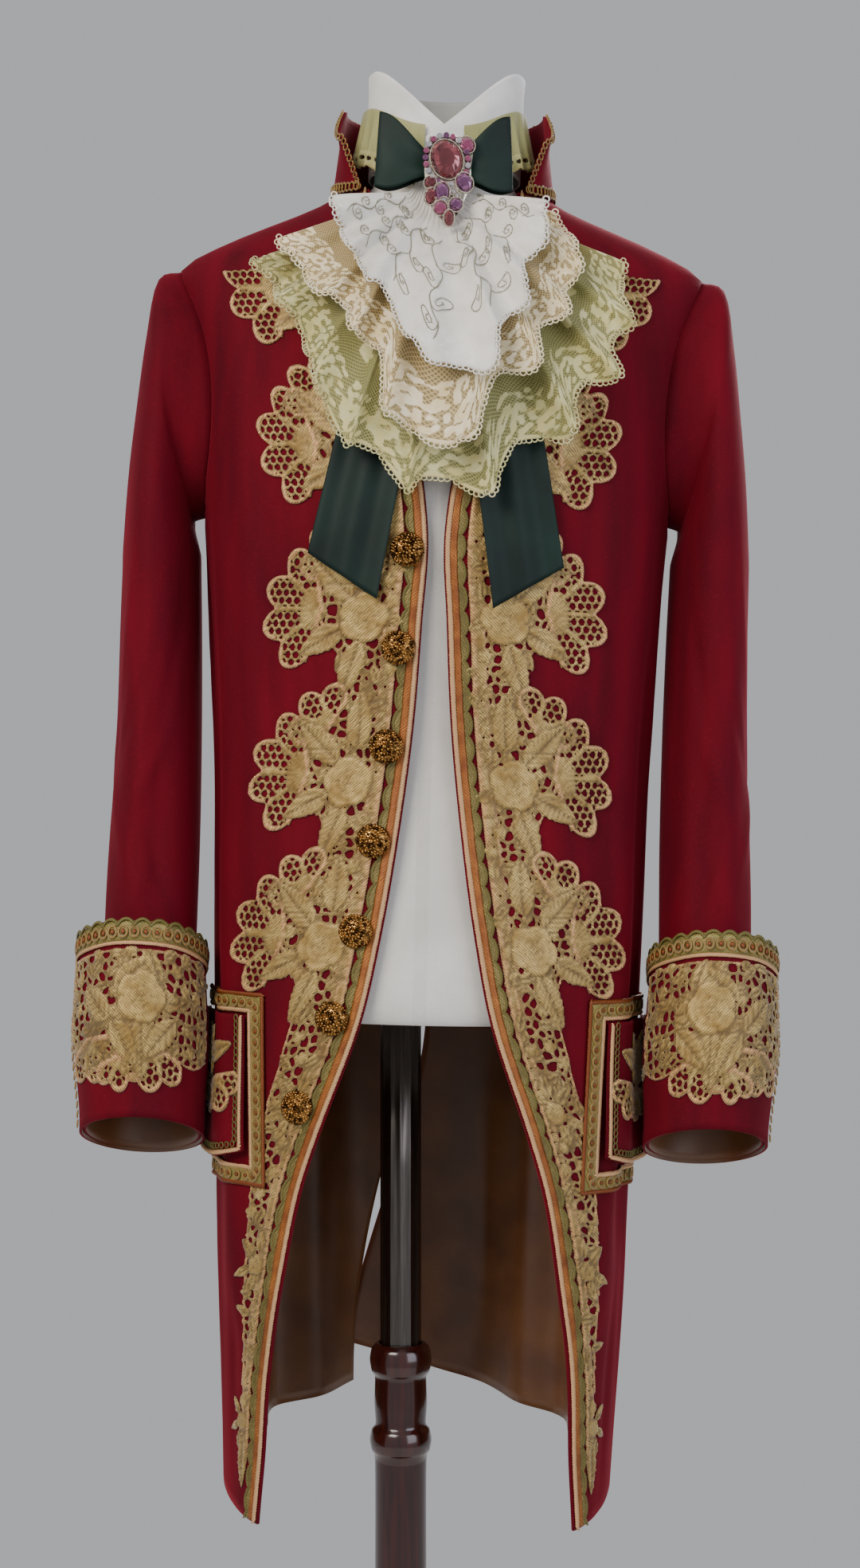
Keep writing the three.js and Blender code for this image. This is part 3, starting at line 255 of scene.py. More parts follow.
# The pole is dark drawn steel, and its fine upright streaks break up the highlight.
steel, steel_tree, steel_shader = start_material("dark_steel", {"Metallic": 1, "Roughness": 0.3})
steel_grain = noise(steel_tree, drawn_out(steel_tree, object_place(steel_tree), 0.03), 1.6, 5.0)
paint(steel_tree, steel_shader, steel_grain, linear("#37322e"), linear("#7b7570"))
bump(steel_tree, steel_shader, steel_grain, 0.1, 0.1)
dress(mesh_object("pole", *turned_rings(POLE_PROFILE, 144, 12, 0.06), [steel]), "dark_steel", "stand_pole")


# The dress form: a limbless torso in white canvas with princess seams, cut flat under the waist.
# It is the shape that the jacket rests on, so it is smooth and whole, and clear of the cloth.
def maths(tree, operation, *values):
    """A math node's result. Each value is a number or an output."""
    made = add_node(tree, "ShaderNodeMath", {"operation": operation})
    for socket, value in zip(made.inputs, values):
        feed(tree, socket, value)
    return made.outputs[0]


def woven(tree, place, thread_mm, uneven):
    """Two crossed sets of threads this many mm apart."""
    settings = {"Scale": 314.16 / thread_mm, "Distortion": uneven}
    threads = [add_node(tree, "ShaderNodeTexWave", {"bands_direction": way, **settings},
                        {"Vector": place}).outputs["Fac"] for way in ("X", "Y")]
    return maths(tree, "MAXIMUM", *threads)


def cloth(name, dark, light, patch_mm, weave_mm, values, depth_mm=0.15):
    """Woven cloth: patches of two shades, and a weave that follows the piece's own uv.

    The threads are drawn 0.45 to 0.8 mm apart, coarser than the real 0.2 mm, so that the weave shows.
    """
    made, tree, shader = start_material(name, values)
    place = add_node(tree, "ShaderNodeTexCoord")
    patches = spread_of(tree, noise(tree, place.outputs["Object"], patch_mm, 4.0), 0.3, 0.7)
    fine = noise(tree, place.outputs["Object"], weave_mm * 1.7, 2.0)
    shade = mix_colours(tree, patches, linear(dark), linear(light))
    paint(tree, shader, spread_of(tree, fine, 0.25, 1.2), shade, linear(dark))
    threads = woven(tree, place.outputs["UV"], weave_mm, 1.2)
    bump(tree, shader, maths(tree, "ADD", threads, fine), 0.5, depth_mm)
    return made


def slopes(values, places):
    """The slope at each row of values, from the rows on both sides."""
    at = places.reshape((-1,) + (1,) * (values.ndim - 1))
    slope = np.empty_like(values)
    slope[1:-1] = (values[2:] - values[:-2]) / (at[2:] - at[:-2])
    slope[0] = (values[1] - values[0]) / (at[1] - at[0])
    slope[-1] = (values[-1] - values[-2]) / (at[-1] - at[-2])
    return slope


def between(t, span, values, slope, i):
    """A smooth step from row i of values to the next, with the slopes there: t runs from 0 to 1."""
    return ((2 * t ** 3 - 3 * t ** 2 + 1) * values[i] + (t ** 3 - 2 * t ** 2 + t) * span * slope[i]
            + (3 * t ** 2 - 2 * t ** 3) * values[i + 1] + (t ** 3 - t ** 2) * span * slope[i + 1])


def curve(rows, column):
    """A smooth curve through one column of a table whose first column is the height."""
    z = np.array([row[0] for row in rows], dtype=float)
    v = np.array([row[column] for row in rows], dtype=float)
    slope = slopes(v, z)

    def at(x):
        x = np.clip(x, z[0], z[-1])
        i = np.clip(np.searchsorted(z, x) - 1, 0, len(z) - 2)
        span = z[i + 1] - z[i]
        return between((x - z[i]) / span, span, v, slope, i)
    return at


# The jacket and form lean by a hair and stand a little to the wearer's left of the pole.
COAT_LEAN = 0.021
COAT_SHIFT = 20.0
PLATE_Z = 820.0


def stand_on_pole(points):
    """Points of the jacket in mm, in the jacket's own frame, as points in metres."""
    p = np.asarray(points, dtype=float)
    c, s = math.cos(COAT_LEAN), math.sin(COAT_LEAN)
    rise = p[..., 2] - PLATE_Z
    x = p[..., 0] * c + rise * s + COAT_SHIFT
    z = -p[..., 0] * s + rise * c + PLATE_Z
    return np.stack([x, p[..., 1], z], -1) / 1000


# height, half width, depth before and behind the axis
FORM_ROWS = [(820, 152, 106, 110), (834, 156, 110, 114), (900, 156, 108, 110), (960, 151, 104, 103),
             (1030, 147, 101, 99), (1110, 157, 109, 103), (1200, 171, 119, 110), (1280, 180, 116, 111),
             (1340, 188, 103, 105), (1375, 193, 89, 94), (1395.3, 192, 79, 85), (1421.7, 150, 67, 74),
             (1437.5, 110, 62, 69), (1450.2, 76, 57, 63), (1462, 57, 54, 56), (1500, 53, 53, 53)]
form_half, form_front, form_back = (curve(FORM_ROWS, k) for k in (1, 2, 3))
canvas = cloth("canvas", "#cfccc6", "#e9e6e0", 60, 0.8, {"Roughness": 0.9, "Sheen Weight": 0.15}, 0.25)
form_z = np.concatenate([[820, 820.6, 822], np.linspace(824, 1494, 92), [1497, 1499, 1500]])
form_turn = turns_of(96)
tz, tt = np.meshgrid(form_z, form_turn, indexing="ij")
low_edge = np.where(tz < 823, 0.985 + 0.005 * (tz - 820), 1.0)
edge = low_edge * np.where(tz > 1496, 1 - 0.004 * (tz - 1496) ** 1.5, 1.0)
from_back = np.abs(tt - math.pi)
seam = 0.9 * np.exp(-((from_back - 2.35) / 0.014) ** 2) + 0.9 * np.exp(-((from_back - 0.9) / 0.014) ** 2)
form_depth = np.where(np.cos(tt) > 0, form_front(tz), form_back(tz)) - seam
form_points = np.stack([np.sin(tt) * (form_half(tz) - seam) * edge, -np.cos(tt) * form_depth * edge, tz], -1)
rows, cols = tz.shape
at = np.arange(cols)
form_faces = [q for k in range(rows - 1) for q in zip(
    k * cols + at, k * cols + (at + 1) % cols, (k + 1) * cols + (at + 1) % cols, (k + 1) * cols + at)]
form_faces += [at[::-1], (rows - 1) * cols + at]
form_uv = np.stack([tt * 0.15, tz / 1000], -1).reshape(-1, 2)
form = mesh_object("form_cover", stand_on_pole(form_points).reshape(-1, 3), form_faces, [canvas], uvs=form_uv)
dress(form, "canvas", "dress_form")


# Fronts and backs: four panels of silk velvet over a brown satin lining, seamed at the sides, the shoulders
# and the centre back. The fronts are cut away from the breast to long pointed tails, and the back is open
# below the waist as a vent.
def pile(name, dark, mid, light):
    """Velvet: pressed and brushed patches, and a bright bloom where the pile stands across the light."""
    values = {"Roughness": 0.8, "Specular IOR Level": 0.15, "Sheen Weight": 0.34, "Sheen Roughness": 0.42,
              "Sheen Tint": linear("#d0364f")}
    made, tree, shader = start_material(name, values)
    place = object_place(tree)
    brushed = spread_of(tree, noise(tree, drawn_out(tree, place, 0.22), 30, 2.0), 0.25, 0.75)
    fine = noise(tree, place, 2.2, 3.0)
    shade = mix_colours(tree, brushed, linear(dark), linear(mid))
    paint(tree, shader, spread_of(tree, fine, 0.55, 1.3), shade, linear(light))
    bump(tree, shader, fine, 0.35, 0.5)
    return made


velvet = pile("velvet", "#4a0010", "#6a0017", "#7c0a1e")
lining = cloth("lining", "#4f2b0e", "#774a20", 45, 0.5,
               {"Roughness": 0.36, "Sheen Weight": 0.1, "Specular IOR Level": 0.6}, 0.05)

# height, half width, depth before and behind the axis
BODY_ROWS = [(420, 150, 112, 124), (550, 155, 117, 128), (700, 161, 120, 129), (820, 166, 121, 127),
             (920, 169, 117, 119), (1010, 171, 113, 112), (1100, 175, 119, 112), (1200, 182, 127, 117),
             (1280, 189, 122, 117), (1340, 196, 108, 110), (1378, 203, 93, 98), (1398, 204, 81, 87),
             (1408, 190, 77, 82), (1424, 156, 72, 78), (1440, 116, 67, 74), (1455, 86, 63, 70),
             (1470, 80, 60, 66)]
# height, half the gap between the front edges
EDGE_ROWS = [(400, 121), (436, 120), (490, 116), (550, 113), (620, 104), (690, 92), (740, 77), (820, 49),
             (885, 35), (955, 24), (1040, 14), (1120, 9), (1184, 6), (1260, 17), (1350, 38), (1420, 54),
             (1470, 58)]
# side, degrees from centre front, width in degrees, depth, lowest and highest point
FOLD_ROWS = [(-1, 64, 7, 5, 560, 1330), (-1, 52, 5, 3, 900, 1400), (-1, 77, 6, -4, 700, 1190),
             (1, 60, 8, 4, 560, 1280), (1, 73, 6, -4, 620, 1180), (1, 46, 6, 2.5, 1000, 1400),
             (0, 106, 6, 8, 380, 930), (0, 119, 6, -9, 380, 940), (0, 132, 6, 9, 380, 900),
             (0, 146, 6, -7, 380, 860), (0, 162, 8, 6, 380, 820)]
# side, degrees, height, depth, half width in degrees, half height, lean in degrees per 100 mm
CREASE_ROWS = [(-1, 84, 1150, -3.0, 3.0, 70, 3), (-1, 78, 1050, 2.2, 3.5, 60, -2),
               (-1, 88, 960, -2.6, 2.6, 80, 2), (-1, 70, 900, 1.8, 3.0, 70, -3),
               (-1, 58, 780, -1.8, 2.6, 90, 2), (-1, 44, 640, 1.6, 3.0, 90, 0),
               (-1, 66, 560, -2.0, 3.2, 80, -2), (-1, 82, 640, 2.4, 3.0, 110, 1),
               (-1, 76, 1260, 2.2, 4.0, 45, 8), (1, 86, 1170, -2.8, 3.0, 60, -3),
               (1, 80, 1040, 2.4, 3.2, 70, 2), (1, 90, 930, -2.4, 3.0, 80, -2),
               (1, 68, 870, 2.0, 3.4, 60, 3), (1, 55, 760, -1.6, 2.8, 80, -2),
               (1, 47, 620, 1.8, 3.0, 100, 1), (1, 70, 540, -2.2, 3.0, 70, 2),
               (1, 84, 600, 2.6, 3.0, 100, -1), (1, 74, 1270, 2.4, 4.0, 40, -8),
               (0, 100, 1120, 2.4, 3.2, 80, 2), (0, 112, 1010, -2.6, 4.0, 60, -3),
               (0, 150, 1010, 2.2, 5.0, 50, 4), (0, 168, 1130, -1.8, 4.0, 90, 0),
               (0, 124, 1220, 2.4, 6.0, 50, 5), (0, 140, 1330, -2.0, 7.0, 35, -6),
               (0, 112, 600, 3.0, 2.6, 120, 1), (0, 126, 560, -3.0, 2.8, 110, -1),
               (0, 154, 620, 2.6, 3.0, 100, 1)]
SIDE_SEAM = math.radians(96)
ARMPIT_Z, SHOULDER_Z, NECK_Z = 1205.0, 1398.0, 1455.0
TIP_Z, SIDE_HEM_Z, BACK_HEM_Z, HEM_BLEND_Z = 436.0, 466.0, 536.0, 700.0
CLOTH = 2.2
SEAM_GAP = 0.4
half_width, front_depth, back_depth = (curve(BODY_ROWS, k) for k in (1, 2, 3))
edge_gap = curve(EDGE_ROWS, 1)


def smooth(x, low, high):
    """Rises from 0 at low to 1 at high, with level ends."""
    t = np.clip((np.asarray(x, dtype=float) - low) / (high - low), 0, 1)
    return t * t * (3 - 2 * t)


def body_point(side, angle, z, out=0.0):
    """A point of the jacket's body: the angle runs from centre front, positive to both sides."""
    push = out + 0 * angle
    for row_side, at_angle, width, depth, low, high in FOLD_ROWS:
        if row_side in (0, side):
            fade = smooth(z, low, low + 60) * (1 - smooth(z, high - 160, high))
            away = (angle - math.radians(at_angle)) / math.radians(width)
            push = push + depth * fade * np.exp(-away ** 2)
    for row_side, at_angle, height, depth, width, tall, lean in CREASE_ROWS:
        if row_side in (0, side):
            up = z - height
            away = (np.degrees(angle) - at_angle - lean * up / 100 - 6 * side * (row_side == 0)) / width
            push = push + 0.8 * depth * np.exp(-away ** 2 - (up / tall) ** 2)
    depth = np.where(angle < math.pi / 2, front_depth(z), back_depth(z))
    half = half_width(z)
    nx, ny = np.sin(angle) / half, -np.cos(angle) / depth
    length = np.hypot(nx, ny)
    x = side * (np.sin(angle) * half + push * nx / length)
    return np.stack([x, -np.cos(angle) * depth + push * ny / length, z + 0 * angle], -1)


def edge_angle(z):
    """Where a front's edge lies at this height, as an angle from centre front."""
    return np.arcsin(np.minimum(edge_gap(z) / half_width(z), 0.999))


def seam_angle(z):
    """Where the side seam lies: a little behind the side, and at the side from the armpit up."""
    return SIDE_SEAM + (math.pi / 2 - SIDE_SEAM) * smooth(z, 1000, ARMPIT_Z)


def armhole_bite(z):
    """How far the armhole cuts into a panel from the side seam's line, as an angle."""
    across = 2 * (z - ARMPIT_Z) / (SHOULDER_Z - ARMPIT_Z) - 1
    return math.radians(24) * np.sqrt(np.maximum(1 - across ** 2, 0))


def outward(points, sign, ring=False):
    """Unit normals of a grid of points, on the side that sign gives."""
    if ring:
        across = (np.roll(points, -1, 1) - np.roll(points, 1, 1)) / 2
    else:
        across = np.gradient(points, axis=1)
    normal = np.cross(across, np.gradient(points, axis=0)) * sign
    return normal / np.maximum(np.linalg.norm(normal, axis=-1, keepdims=True), 1e-9)


def cut_size(points, ring=False):
    """The size a sheet was cut to, in metres: its widest row, its longest column and its area."""
    closed = np.concatenate([points, points[:, :1]], 1) if ring else points
    across = np.linalg.norm(np.diff(closed, axis=1), axis=-1).sum(1).max() / 1000
    down = np.linalg.norm(np.diff(closed, axis=0), axis=-1).sum(0).max() / 1000
    a, b, c, d = closed[:-1, :-1], closed[:-1, 1:], closed[1:, 1:], closed[1:, :-1]
    halves = np.linalg.norm(np.cross(b - a, c - a), axis=-1) + np.linalg.norm(np.cross(c - a, d - a), axis=-1)
    area = halves.sum() / 2e6
    return (float(across), float(down)), float(min(area, across * down))


def shell(name, outer, thick, sign, materials, ring=False):
    """A closed sheet of cloth from the grid of its outer side, in jacket mm. The wall goes inward.
    Materials are the outer side's, the inner side's and the cut edge's."""
    inner = outer - outward(outer, sign, ring) * thick
    rows, cols = outer.shape[:2]
    both = np.concatenate([outer.reshape(-1, 3), inner.reshape(-1, 3)])
    r = np.arange(rows - 1)[:, None]
    c = np.arange(cols if ring else cols - 1)[None, :]
    after = (c + 1) % cols
    low, high = r * cols, (r + 1) * cols
    quads = np.stack([low + c, low + after, high + after, high + c], -1).reshape(-1, 4)
    if sign < 0:
        quads = quads[:, ::-1]
    n = rows * cols
    faces = [quads, quads[:, ::-1] + n]
    rims = [(np.arange(cols), 1), ((rows - 1) * cols + np.arange(cols), -1)]
    if not ring:
        rims += [(np.arange(rows) * cols, -1), (np.arange(rows) * cols + cols - 1, 1)]
    for line, way in rims:
        start, end = (line, np.roll(line, -1)) if ring else (line[:-1], line[1:])
        rim = np.stack([end, start, start + n, end + n], -1)
        faces.append(rim if way * sign > 0 else rim[:, ::-1])
    slots = np.concatenate([np.full(len(f), k) for f, k in zip(faces, [0, 1] + [2] * (len(faces) - 2))])
    spans = np.zeros((rows, cols, 2))
    spans[:, 1:, 0] = np.cumsum(np.linalg.norm(np.diff(outer, axis=1), axis=-1), axis=1) / 1000
    spans[1:, :, 1] = np.cumsum(np.linalg.norm(np.diff(outer, axis=0), axis=-1), axis=0) / 1000
    uv = np.concatenate([spans.reshape(-1, 2)] * 2)
    made = mesh_object(name, stand_on_pole(both), np.concatenate(faces), materials, slots, uv)
    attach(made, "root")
    return made


def declare(made, flat, area, held, rests_on, slot, *nodes):
    """Hides the CAD nodes that a sheet of cloth stands for. How big it was cut and what holds it are not
    used.
    """
    if nodes:
        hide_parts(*nodes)


def front_grid(side, across=42, down=124):
    """Points of a front from hem to neck, from the front edge to the side seam."""
    u, level = np.meshgrid(np.linspace(0, 1, across), np.linspace(TIP_Z, NECK_Z, down))
    hem = TIP_Z + (SIDE_HEM_Z - TIP_Z) * u ** 1.4
    z = level + (hem - TIP_Z) * (1 - smooth(level, TIP_Z, HEM_BLEND_Z))
    angle = edge_angle(z) + (seam_angle(z) - armhole_bite(z) - edge_angle(z)) * u
    return body_point(side, angle, z)


def vent_open(z):
    """How far the back is open as a vent at this height, from 0 to 1."""
    return 1 - smooth(z, BACK_HEM_Z - 20, 880)


def back_grid(side, across=46, down=124):
    """Points of a back from hem to neck, from the side seam to the centre back. Below the waist the wearer's
    right skirt hangs inside and forward, and the left one runs on behind it."""
    u, level = np.meshgrid(np.linspace(0, 1, across), np.linspace(TIP_Z, NECK_Z, down))
    hem = SIDE_HEM_Z + ((BACK_HEM_Z - 30 if side < 0 else BACK_HEM_Z) - SIDE_HEM_Z) * u ** 1.2
    z = level + (hem - TIP_Z) * (1 - smooth(level, TIP_Z, HEM_BLEND_Z))
    gap = SEAM_GAP / half_width(z)
    opened = -math.radians(22) * vent_open(z) if side < 0 else math.radians(27) * vent_open(z + 60)
    start = seam_angle(z) + armhole_bite(z) + gap
    angle = start + (math.pi - gap / 2 + opened - start) * u
    push = (-13 if side < 0 else 3) * smooth(u, 0.55, 1) * np.minimum(1, 2.2 * vent_open(z))
    return body_point(side, angle, z, push)


HANDS = {-1: "right", 1: "left"}
for side, hand in HANDS.items():
    for panel, grid in (("front", front_grid(side)), ("back", back_grid(side))):
        made = shell(f"{panel}_{hand}_velvet", grid, CLOTH, side, [velvet, lining, velvet])
        declare(made, *cut_size(grid), "hung", ["form_cover"], "velvet", f"{panel}_{hand}")


# Sleeves: velvet tubes set into the armholes, easing over the shoulder and curving forward to a slant end.
# They are lined in the same brown satin, and the forearm is creased where the cloth rests on itself.
# height, middle x and y, half width, half depth, slant of the end in degrees
ARM_ROWS = [(700, 216, -47, 45, 56, 21), (735, 216, -44, 44.5, 55, 21), (780, 216, -37, 40, 53, 20),
            (830, 215, -28, 35, 54, 17), (890, 214, -18, 34, 57, 12), (960, 213, -8, 33, 61, 7),
            (1040, 213, -2, 32, 65, 3), (1120, 214, 2, 31, 69, 0), (1180, 215, 3, 30, 72, 0),
            (1200, 215, 3, 30, 72, 0)]
# inner end x and height, reach over the shoulder, its slant in degrees, half depth
HEAD_RINGS = [(190, 1202, 191, 9.5, 56), (190, 1199, 153, 15, 62), (190, 1196, 108, 25, 67),
              (189, 1192, 70, 48, 71)]
# degrees from outside towards the front, height, depth, half width in degrees, half height
SLEEVE_CREASES = [(62, 1010, 4, 26, 150), (100, 960, -5, 22, 120), (20, 930, 3.5, 22, 90),
                  (300, 1000, -4, 30, 80), (340, 1090, 3, 26, 110)]
# the same with a slant in degrees per 100 mm
SLEEVE_WRINKLES = [(60, 1045, -1.8, 9, 34, 60), (84, 1000, 2.0, 10, 30, 70), (96, 930, -2.2, 9, 34, -60),
                   (40, 960, 1.8, 9, 40, -50), (20, 1010, -1.6, 8, 46, 40), (350, 950, 1.8, 9, 50, 30),
                   (330, 1030, -1.6, 9, 50, -40), (300, 940, 2.0, 10, 40, 50), (270, 1010, -2.2, 9, 36, 60),
                   (240, 980, 1.6, 10, 40, -50), (48, 1120, 1.4, 7, 60, 20), (12, 1140, -1.4, 7, 70, -14),
                   (340, 1160, 1.2, 7, 60, 10), (120, 1100, -1.8, 9, 46, 30), (70, 900, 1.4, 9, 26, 60)]
SLEEVE_END_Z = 728.0
arm_x, arm_y, arm_wide, arm_deep, arm_tip = (curve(ARM_ROWS, k) for k in range(1, 6))


def arm_point(side, turn, z, out=0.0):
    """A point of the sleeve: turn 0 is outside, 90 degrees in front. The ring at z slants with the arm."""
    around = np.degrees(turn)
    push = out + 0 * around
    for at_turn, height, depth, width, tall in SLEEVE_CREASES:
        across = ((around - at_turn + 180) % 360 - 180) / width
        push = push + depth * np.exp(-across ** 2 - ((z - height) / tall) ** 2)
    for at_turn, height, depth, width, tall, lean in SLEEVE_WRINKLES:
        up = z - height
        across = ((around - at_turn - (4 if side < 0 else -5) - lean * up / 100 + 180) % 360 - 180) / width
        push = push + depth * np.exp(-across ** 2 - (up / tall) ** 2)
    tip = np.radians(arm_tip(z))
    x = arm_x(z) + (arm_wide(z) + push) * np.cos(turn)
    forward = (arm_deep(z) + push) * np.sin(turn)
    return np.stack([side * x, arm_y(z) - forward * np.cos(tip), z + forward * np.sin(tip)], -1)


def armhole_rim(side, turn):
    """The armhole's edge at these turns: 0 is the shoulder, 90 degrees is in front."""
    up = np.linspace(ARMPIT_Z, SHOULDER_Z, 90)
    down = up[::-1]
    rim = np.concatenate([body_point(side, seam_angle(down) - armhole_bite(down), down),
                          body_point(side, seam_angle(up) + armhole_bite(up), up)[1:]])
    at = np.arctan2(-rim[:, 1] / 50, (rim[:, 2] - (ARMPIT_Z + SHOULDER_Z) / 2) / 96) % (2 * math.pi)
    at[0], at[-1] = 0, 2 * math.pi
    order = np.argsort(at)
    found = np.stack([np.interp(turn, at[order], rim[order, k]) for k in range(3)], -1)
    found[:, 0] -= side * 2.0
    return found


def lofted(rings, step):
    """A smooth grid through a list of rings, with rows this many mm apart."""
    p = np.array(rings)
    span = np.linalg.norm(np.diff(p, axis=0), axis=-1).mean(1)
    at = np.concatenate([[0], np.cumsum(span)])
    wanted = np.linspace(0, at[-1], int(at[-1] / step) + 1)
    i = np.clip(np.searchsorted(at, wanted) - 1, 0, len(at) - 2)
    t = ((wanted - at[i]) / span[i])[:, None, None]
    return between(t, span[i][:, None, None], p, slopes(p, at), i)


for side, hand in HANDS.items():
    turn = turns_of(76)
    rings = [armhole_rim(side, turn)]
    for in_x, in_z, reach, slant, deep in HEAD_RINGS:
        along = reach / 2 * (1 + np.cos(turn))
        lean = math.radians(slant)
        rings.append(np.stack([side * (in_x + along * math.sin(lean)), -deep * np.sin(turn),
                               in_z + along * math.cos(lean)], -1))
    rings += [arm_point(side, turn, z) for z in np.linspace(1176, SLEEVE_END_Z, 76)]
    grid = lofted(rings, 6.0)
    made = shell(f"sleeve_{hand}_velvet", grid, CLOTH, side, [velvet, lining, velvet], ring=True)
    declare(made, *cut_size(grid, True), "hung", ["form_cover"], "velvet", f"sleeve_{hand}")


# Cuffs: deep turn-backs round the sleeve ends, of the same velvet with the brown satin inside. They are
# sewn on at the wrist and stand off the sleeve at the top.
CUFF_TOP_Z, CUFF_BOTTOM_Z = 872.0, SLEEVE_END_Z - 2
CUFF_TOP_EASE, CUFF_BOTTOM_EASE = 9.0, 0.9


def cuff_point(side, turn, part, out=0.0):
    """A point of the cuff's outer side: part runs from the wrist, 0, to the cuff's top, 1."""
    z = CUFF_BOTTOM_Z + (CUFF_TOP_Z - CUFF_BOTTOM_Z) * part
    ease = CUFF_BOTTOM_EASE + (CUFF_TOP_EASE - CUFF_BOTTOM_EASE) * smooth(part, 0, 0.55)
    tip = np.radians(21 + (19 - 21) * part)
    wave = 0.9 * np.sin(3 * turn + 0.6) * part + 0.5 * np.sin(7 * turn + side) * part
    wide = arm_wide(CUFF_BOTTOM_Z) * (1 - part) + 36 * part + ease + out + wave
    deep = arm_deep(CUFF_BOTTOM_Z) * (1 - part) + 57 * part + ease + out + wave
    y = arm_y(CUFF_BOTTOM_Z) * (1 - part) + (arm_y(CUFF_TOP_Z) - 4) * part
    x = arm_x(z) + 6 * part + wide * np.cos(turn)
    forward = deep * np.sin(turn)
    return np.stack([side * x, y - forward * np.cos(tip), z + forward * np.sin(tip)], -1)


for side, hand in HANDS.items():
    turn, part = np.meshgrid(turns_of(84), np.linspace(0, 1, 26))
    grid = cuff_point(side, turn, part, CLOTH)
    made = shell(f"cuff_{hand}_velvet", grid, CLOTH, -side, [velvet, lining, velvet], ring=True)
    declare(made, *cut_size(grid, True), "folded", [f"sleeve_{hand}_velvet"], "velvet", f"cuff_{hand}")


# Collar: a low stand of stiffened velvet round the back and sides of the neck, velvet on both sides and
# sewn into the neckline. Its front ends flare away from the throat.
COLLAR_TURN = math.radians(133)


def collar_point(turn, part, out=0.0):
    """A point of the collar: turn 0 is centre back, part runs from the seam to the top edge."""
    end = smooth(np.abs(turn), math.radians(95), COLLAR_TURN)
    wide = 87 + (79 - 87) * part + out
    deep = 71 + (66 - 71) * part + out
    x = np.sin(turn) * wide + np.sign(turn) * 20 * end * part
    y = np.cos(turn) * deep - 4 * end
    low = NECK_Z + 2 - 3 * end
    return np.stack([x, y, low + (1524 - 30 * end - low) * part], -1)


turn, part = np.meshgrid(np.linspace(-COLLAR_TURN, COLLAR_TURN, 96), np.linspace(0, 1, 20))
grid = collar_point(turn, part)
made = shell("collar_velvet", grid, CLOTH, -1, [velvet, velvet, velvet])
declare(made, *cut_size(grid), "folded", ["form_cover"], "velvet", "collar")


# Front lace: straw-gold guipure sewn down each front, roses among veined leaves with net fans towards the
# side. Each heavy motif is padded, fans are edged with a pinkish-gold cord, and what is open is cut right
# through.
def marked(tree, name):
    """The mark of this name that the mesh carries."""
    return add_node(tree, "ShaderNodeAttribute", {"attribute_name": name}).outputs["Fac"]


def gold_thread(name, dark, light, cord_colour, values):
    """Lace and braid: twisted metallic thread along the uv, in a second colour where the mark "cord" is.

    Its slight metal gives a dull gold gleam on what is raised, and where the mark "hollow" is high, painted
    shade darkens what lies low.
    The stitches are drawn a little over 1 mm apart, coarser than the real 0.5 mm, so that they show.
    """
    made, tree, shader = start_material(name, values)
    place = add_node(tree, "ShaderNodeTexCoord")
    patches = spread_of(tree, noise(tree, place.outputs["Object"], 14, 4.0), 0.3, 0.7)
    fine = noise(tree, place.outputs["Object"], 0.9, 3.0)
    settings = {"bands_direction": "DIAGONAL", "Scale": 260, "Distortion": 5.0, "Detail": 2.0}
    stitch = add_node(tree, "ShaderNodeTexWave", settings, {"Vector": place.outputs["UV"]}).outputs["Fac"]
    thread = mix_colours(tree, patches, linear(dark), linear(light))
    thread = mix_colours(tree, marked(tree, "cord"), thread, linear(cord_colour))
    thread = mix_colours(tree, spread_of(tree, stitch, 0.75, 0.0), thread, linear(dark))
    # painted shade: the low places of the relief, marked "hollow", are painted dark brown
    paint(tree, shader, marked(tree, "hollow"), thread, linear("#4a3410"))
    bump(tree, shader, maths(tree, "ADD", stitch, fine), 0.45, 0.22)
    return made


gold_lace = gold_thread("gold_lace", "#8f6f2e", "#dcc07a", "#e2ab78",
                        {"Roughness": 0.5, "Metallic": 0.25, "Sheen Weight": 0.3})


def rose(x, y, radius):
    """Three turns of petals.

    A motif gives, over a grid, how far inside it a point is, its height and its cord.
    """
    r, a = np.hypot(x, y), np.arctan2(y, x)
    rim = radius * (0.84 + 0.16 * np.abs(np.cos(2.5 * a)) ** 0.7)
    height = np.zeros_like(r)
    for part, turned, petals in ((1.0, 0, 5), (0.66, 0.63, 5), (0.36, 0.2, 4)):
        lobe = np.cos(petals / 2 * (a + turned))
        edge = rim * part if part == 1 else radius * part * (0.84 + 0.16 * np.abs(lobe))
        t = np.clip(r / edge, 0, 1)
        split = np.exp(-(lobe / 0.2) ** 2)
        height = np.where(r < edge, 0.05 + 1.0 * t ** 1.6 - 0.7 * split * t, height)
    centre = 0.6 + 0.4 * np.cos(3 * a + 0.9 * r)
    return rim - r, np.where(r < radius * 0.14, centre, height), 0 * r


def leaf(x, y, long, wide):
    """A leaf along x with a saw edge, a raised rib and side veins."""
    t = np.clip(x / long, 0.001, 0.999)
    teeth = 1 - 0.16 * ((x / (0.13 * long)) % 1.0)
    half = wide / 2 * np.sin(math.pi * t ** 0.72) ** 0.75 * teeth
    inside = np.where((x > 0) & (x < long), half - np.abs(y), -np.maximum(-x, x - long) - 0.2)
    veins = 0.5 + 0.5 * np.cos(2 * math.pi * (x - 1.2 * np.abs(y)) / (0.115 * long))
    height = 0.3 + 0.6 * veins - 0.7 * np.exp(-(y / 1.0) ** 2)
    return inside, height, 0.0 * x


def honeycomb(x, y, pitch):
    """Distance to the nearest middle of a honeycomb's cells."""
    row = pitch * math.sqrt(3)
    first = np.hypot((x + pitch / 2) % pitch - pitch / 2, (y + row / 2) % row - row / 2)
    second = np.hypot(x % pitch - pitch / 2, y % row - row / 2)
    return np.minimum(first, second)


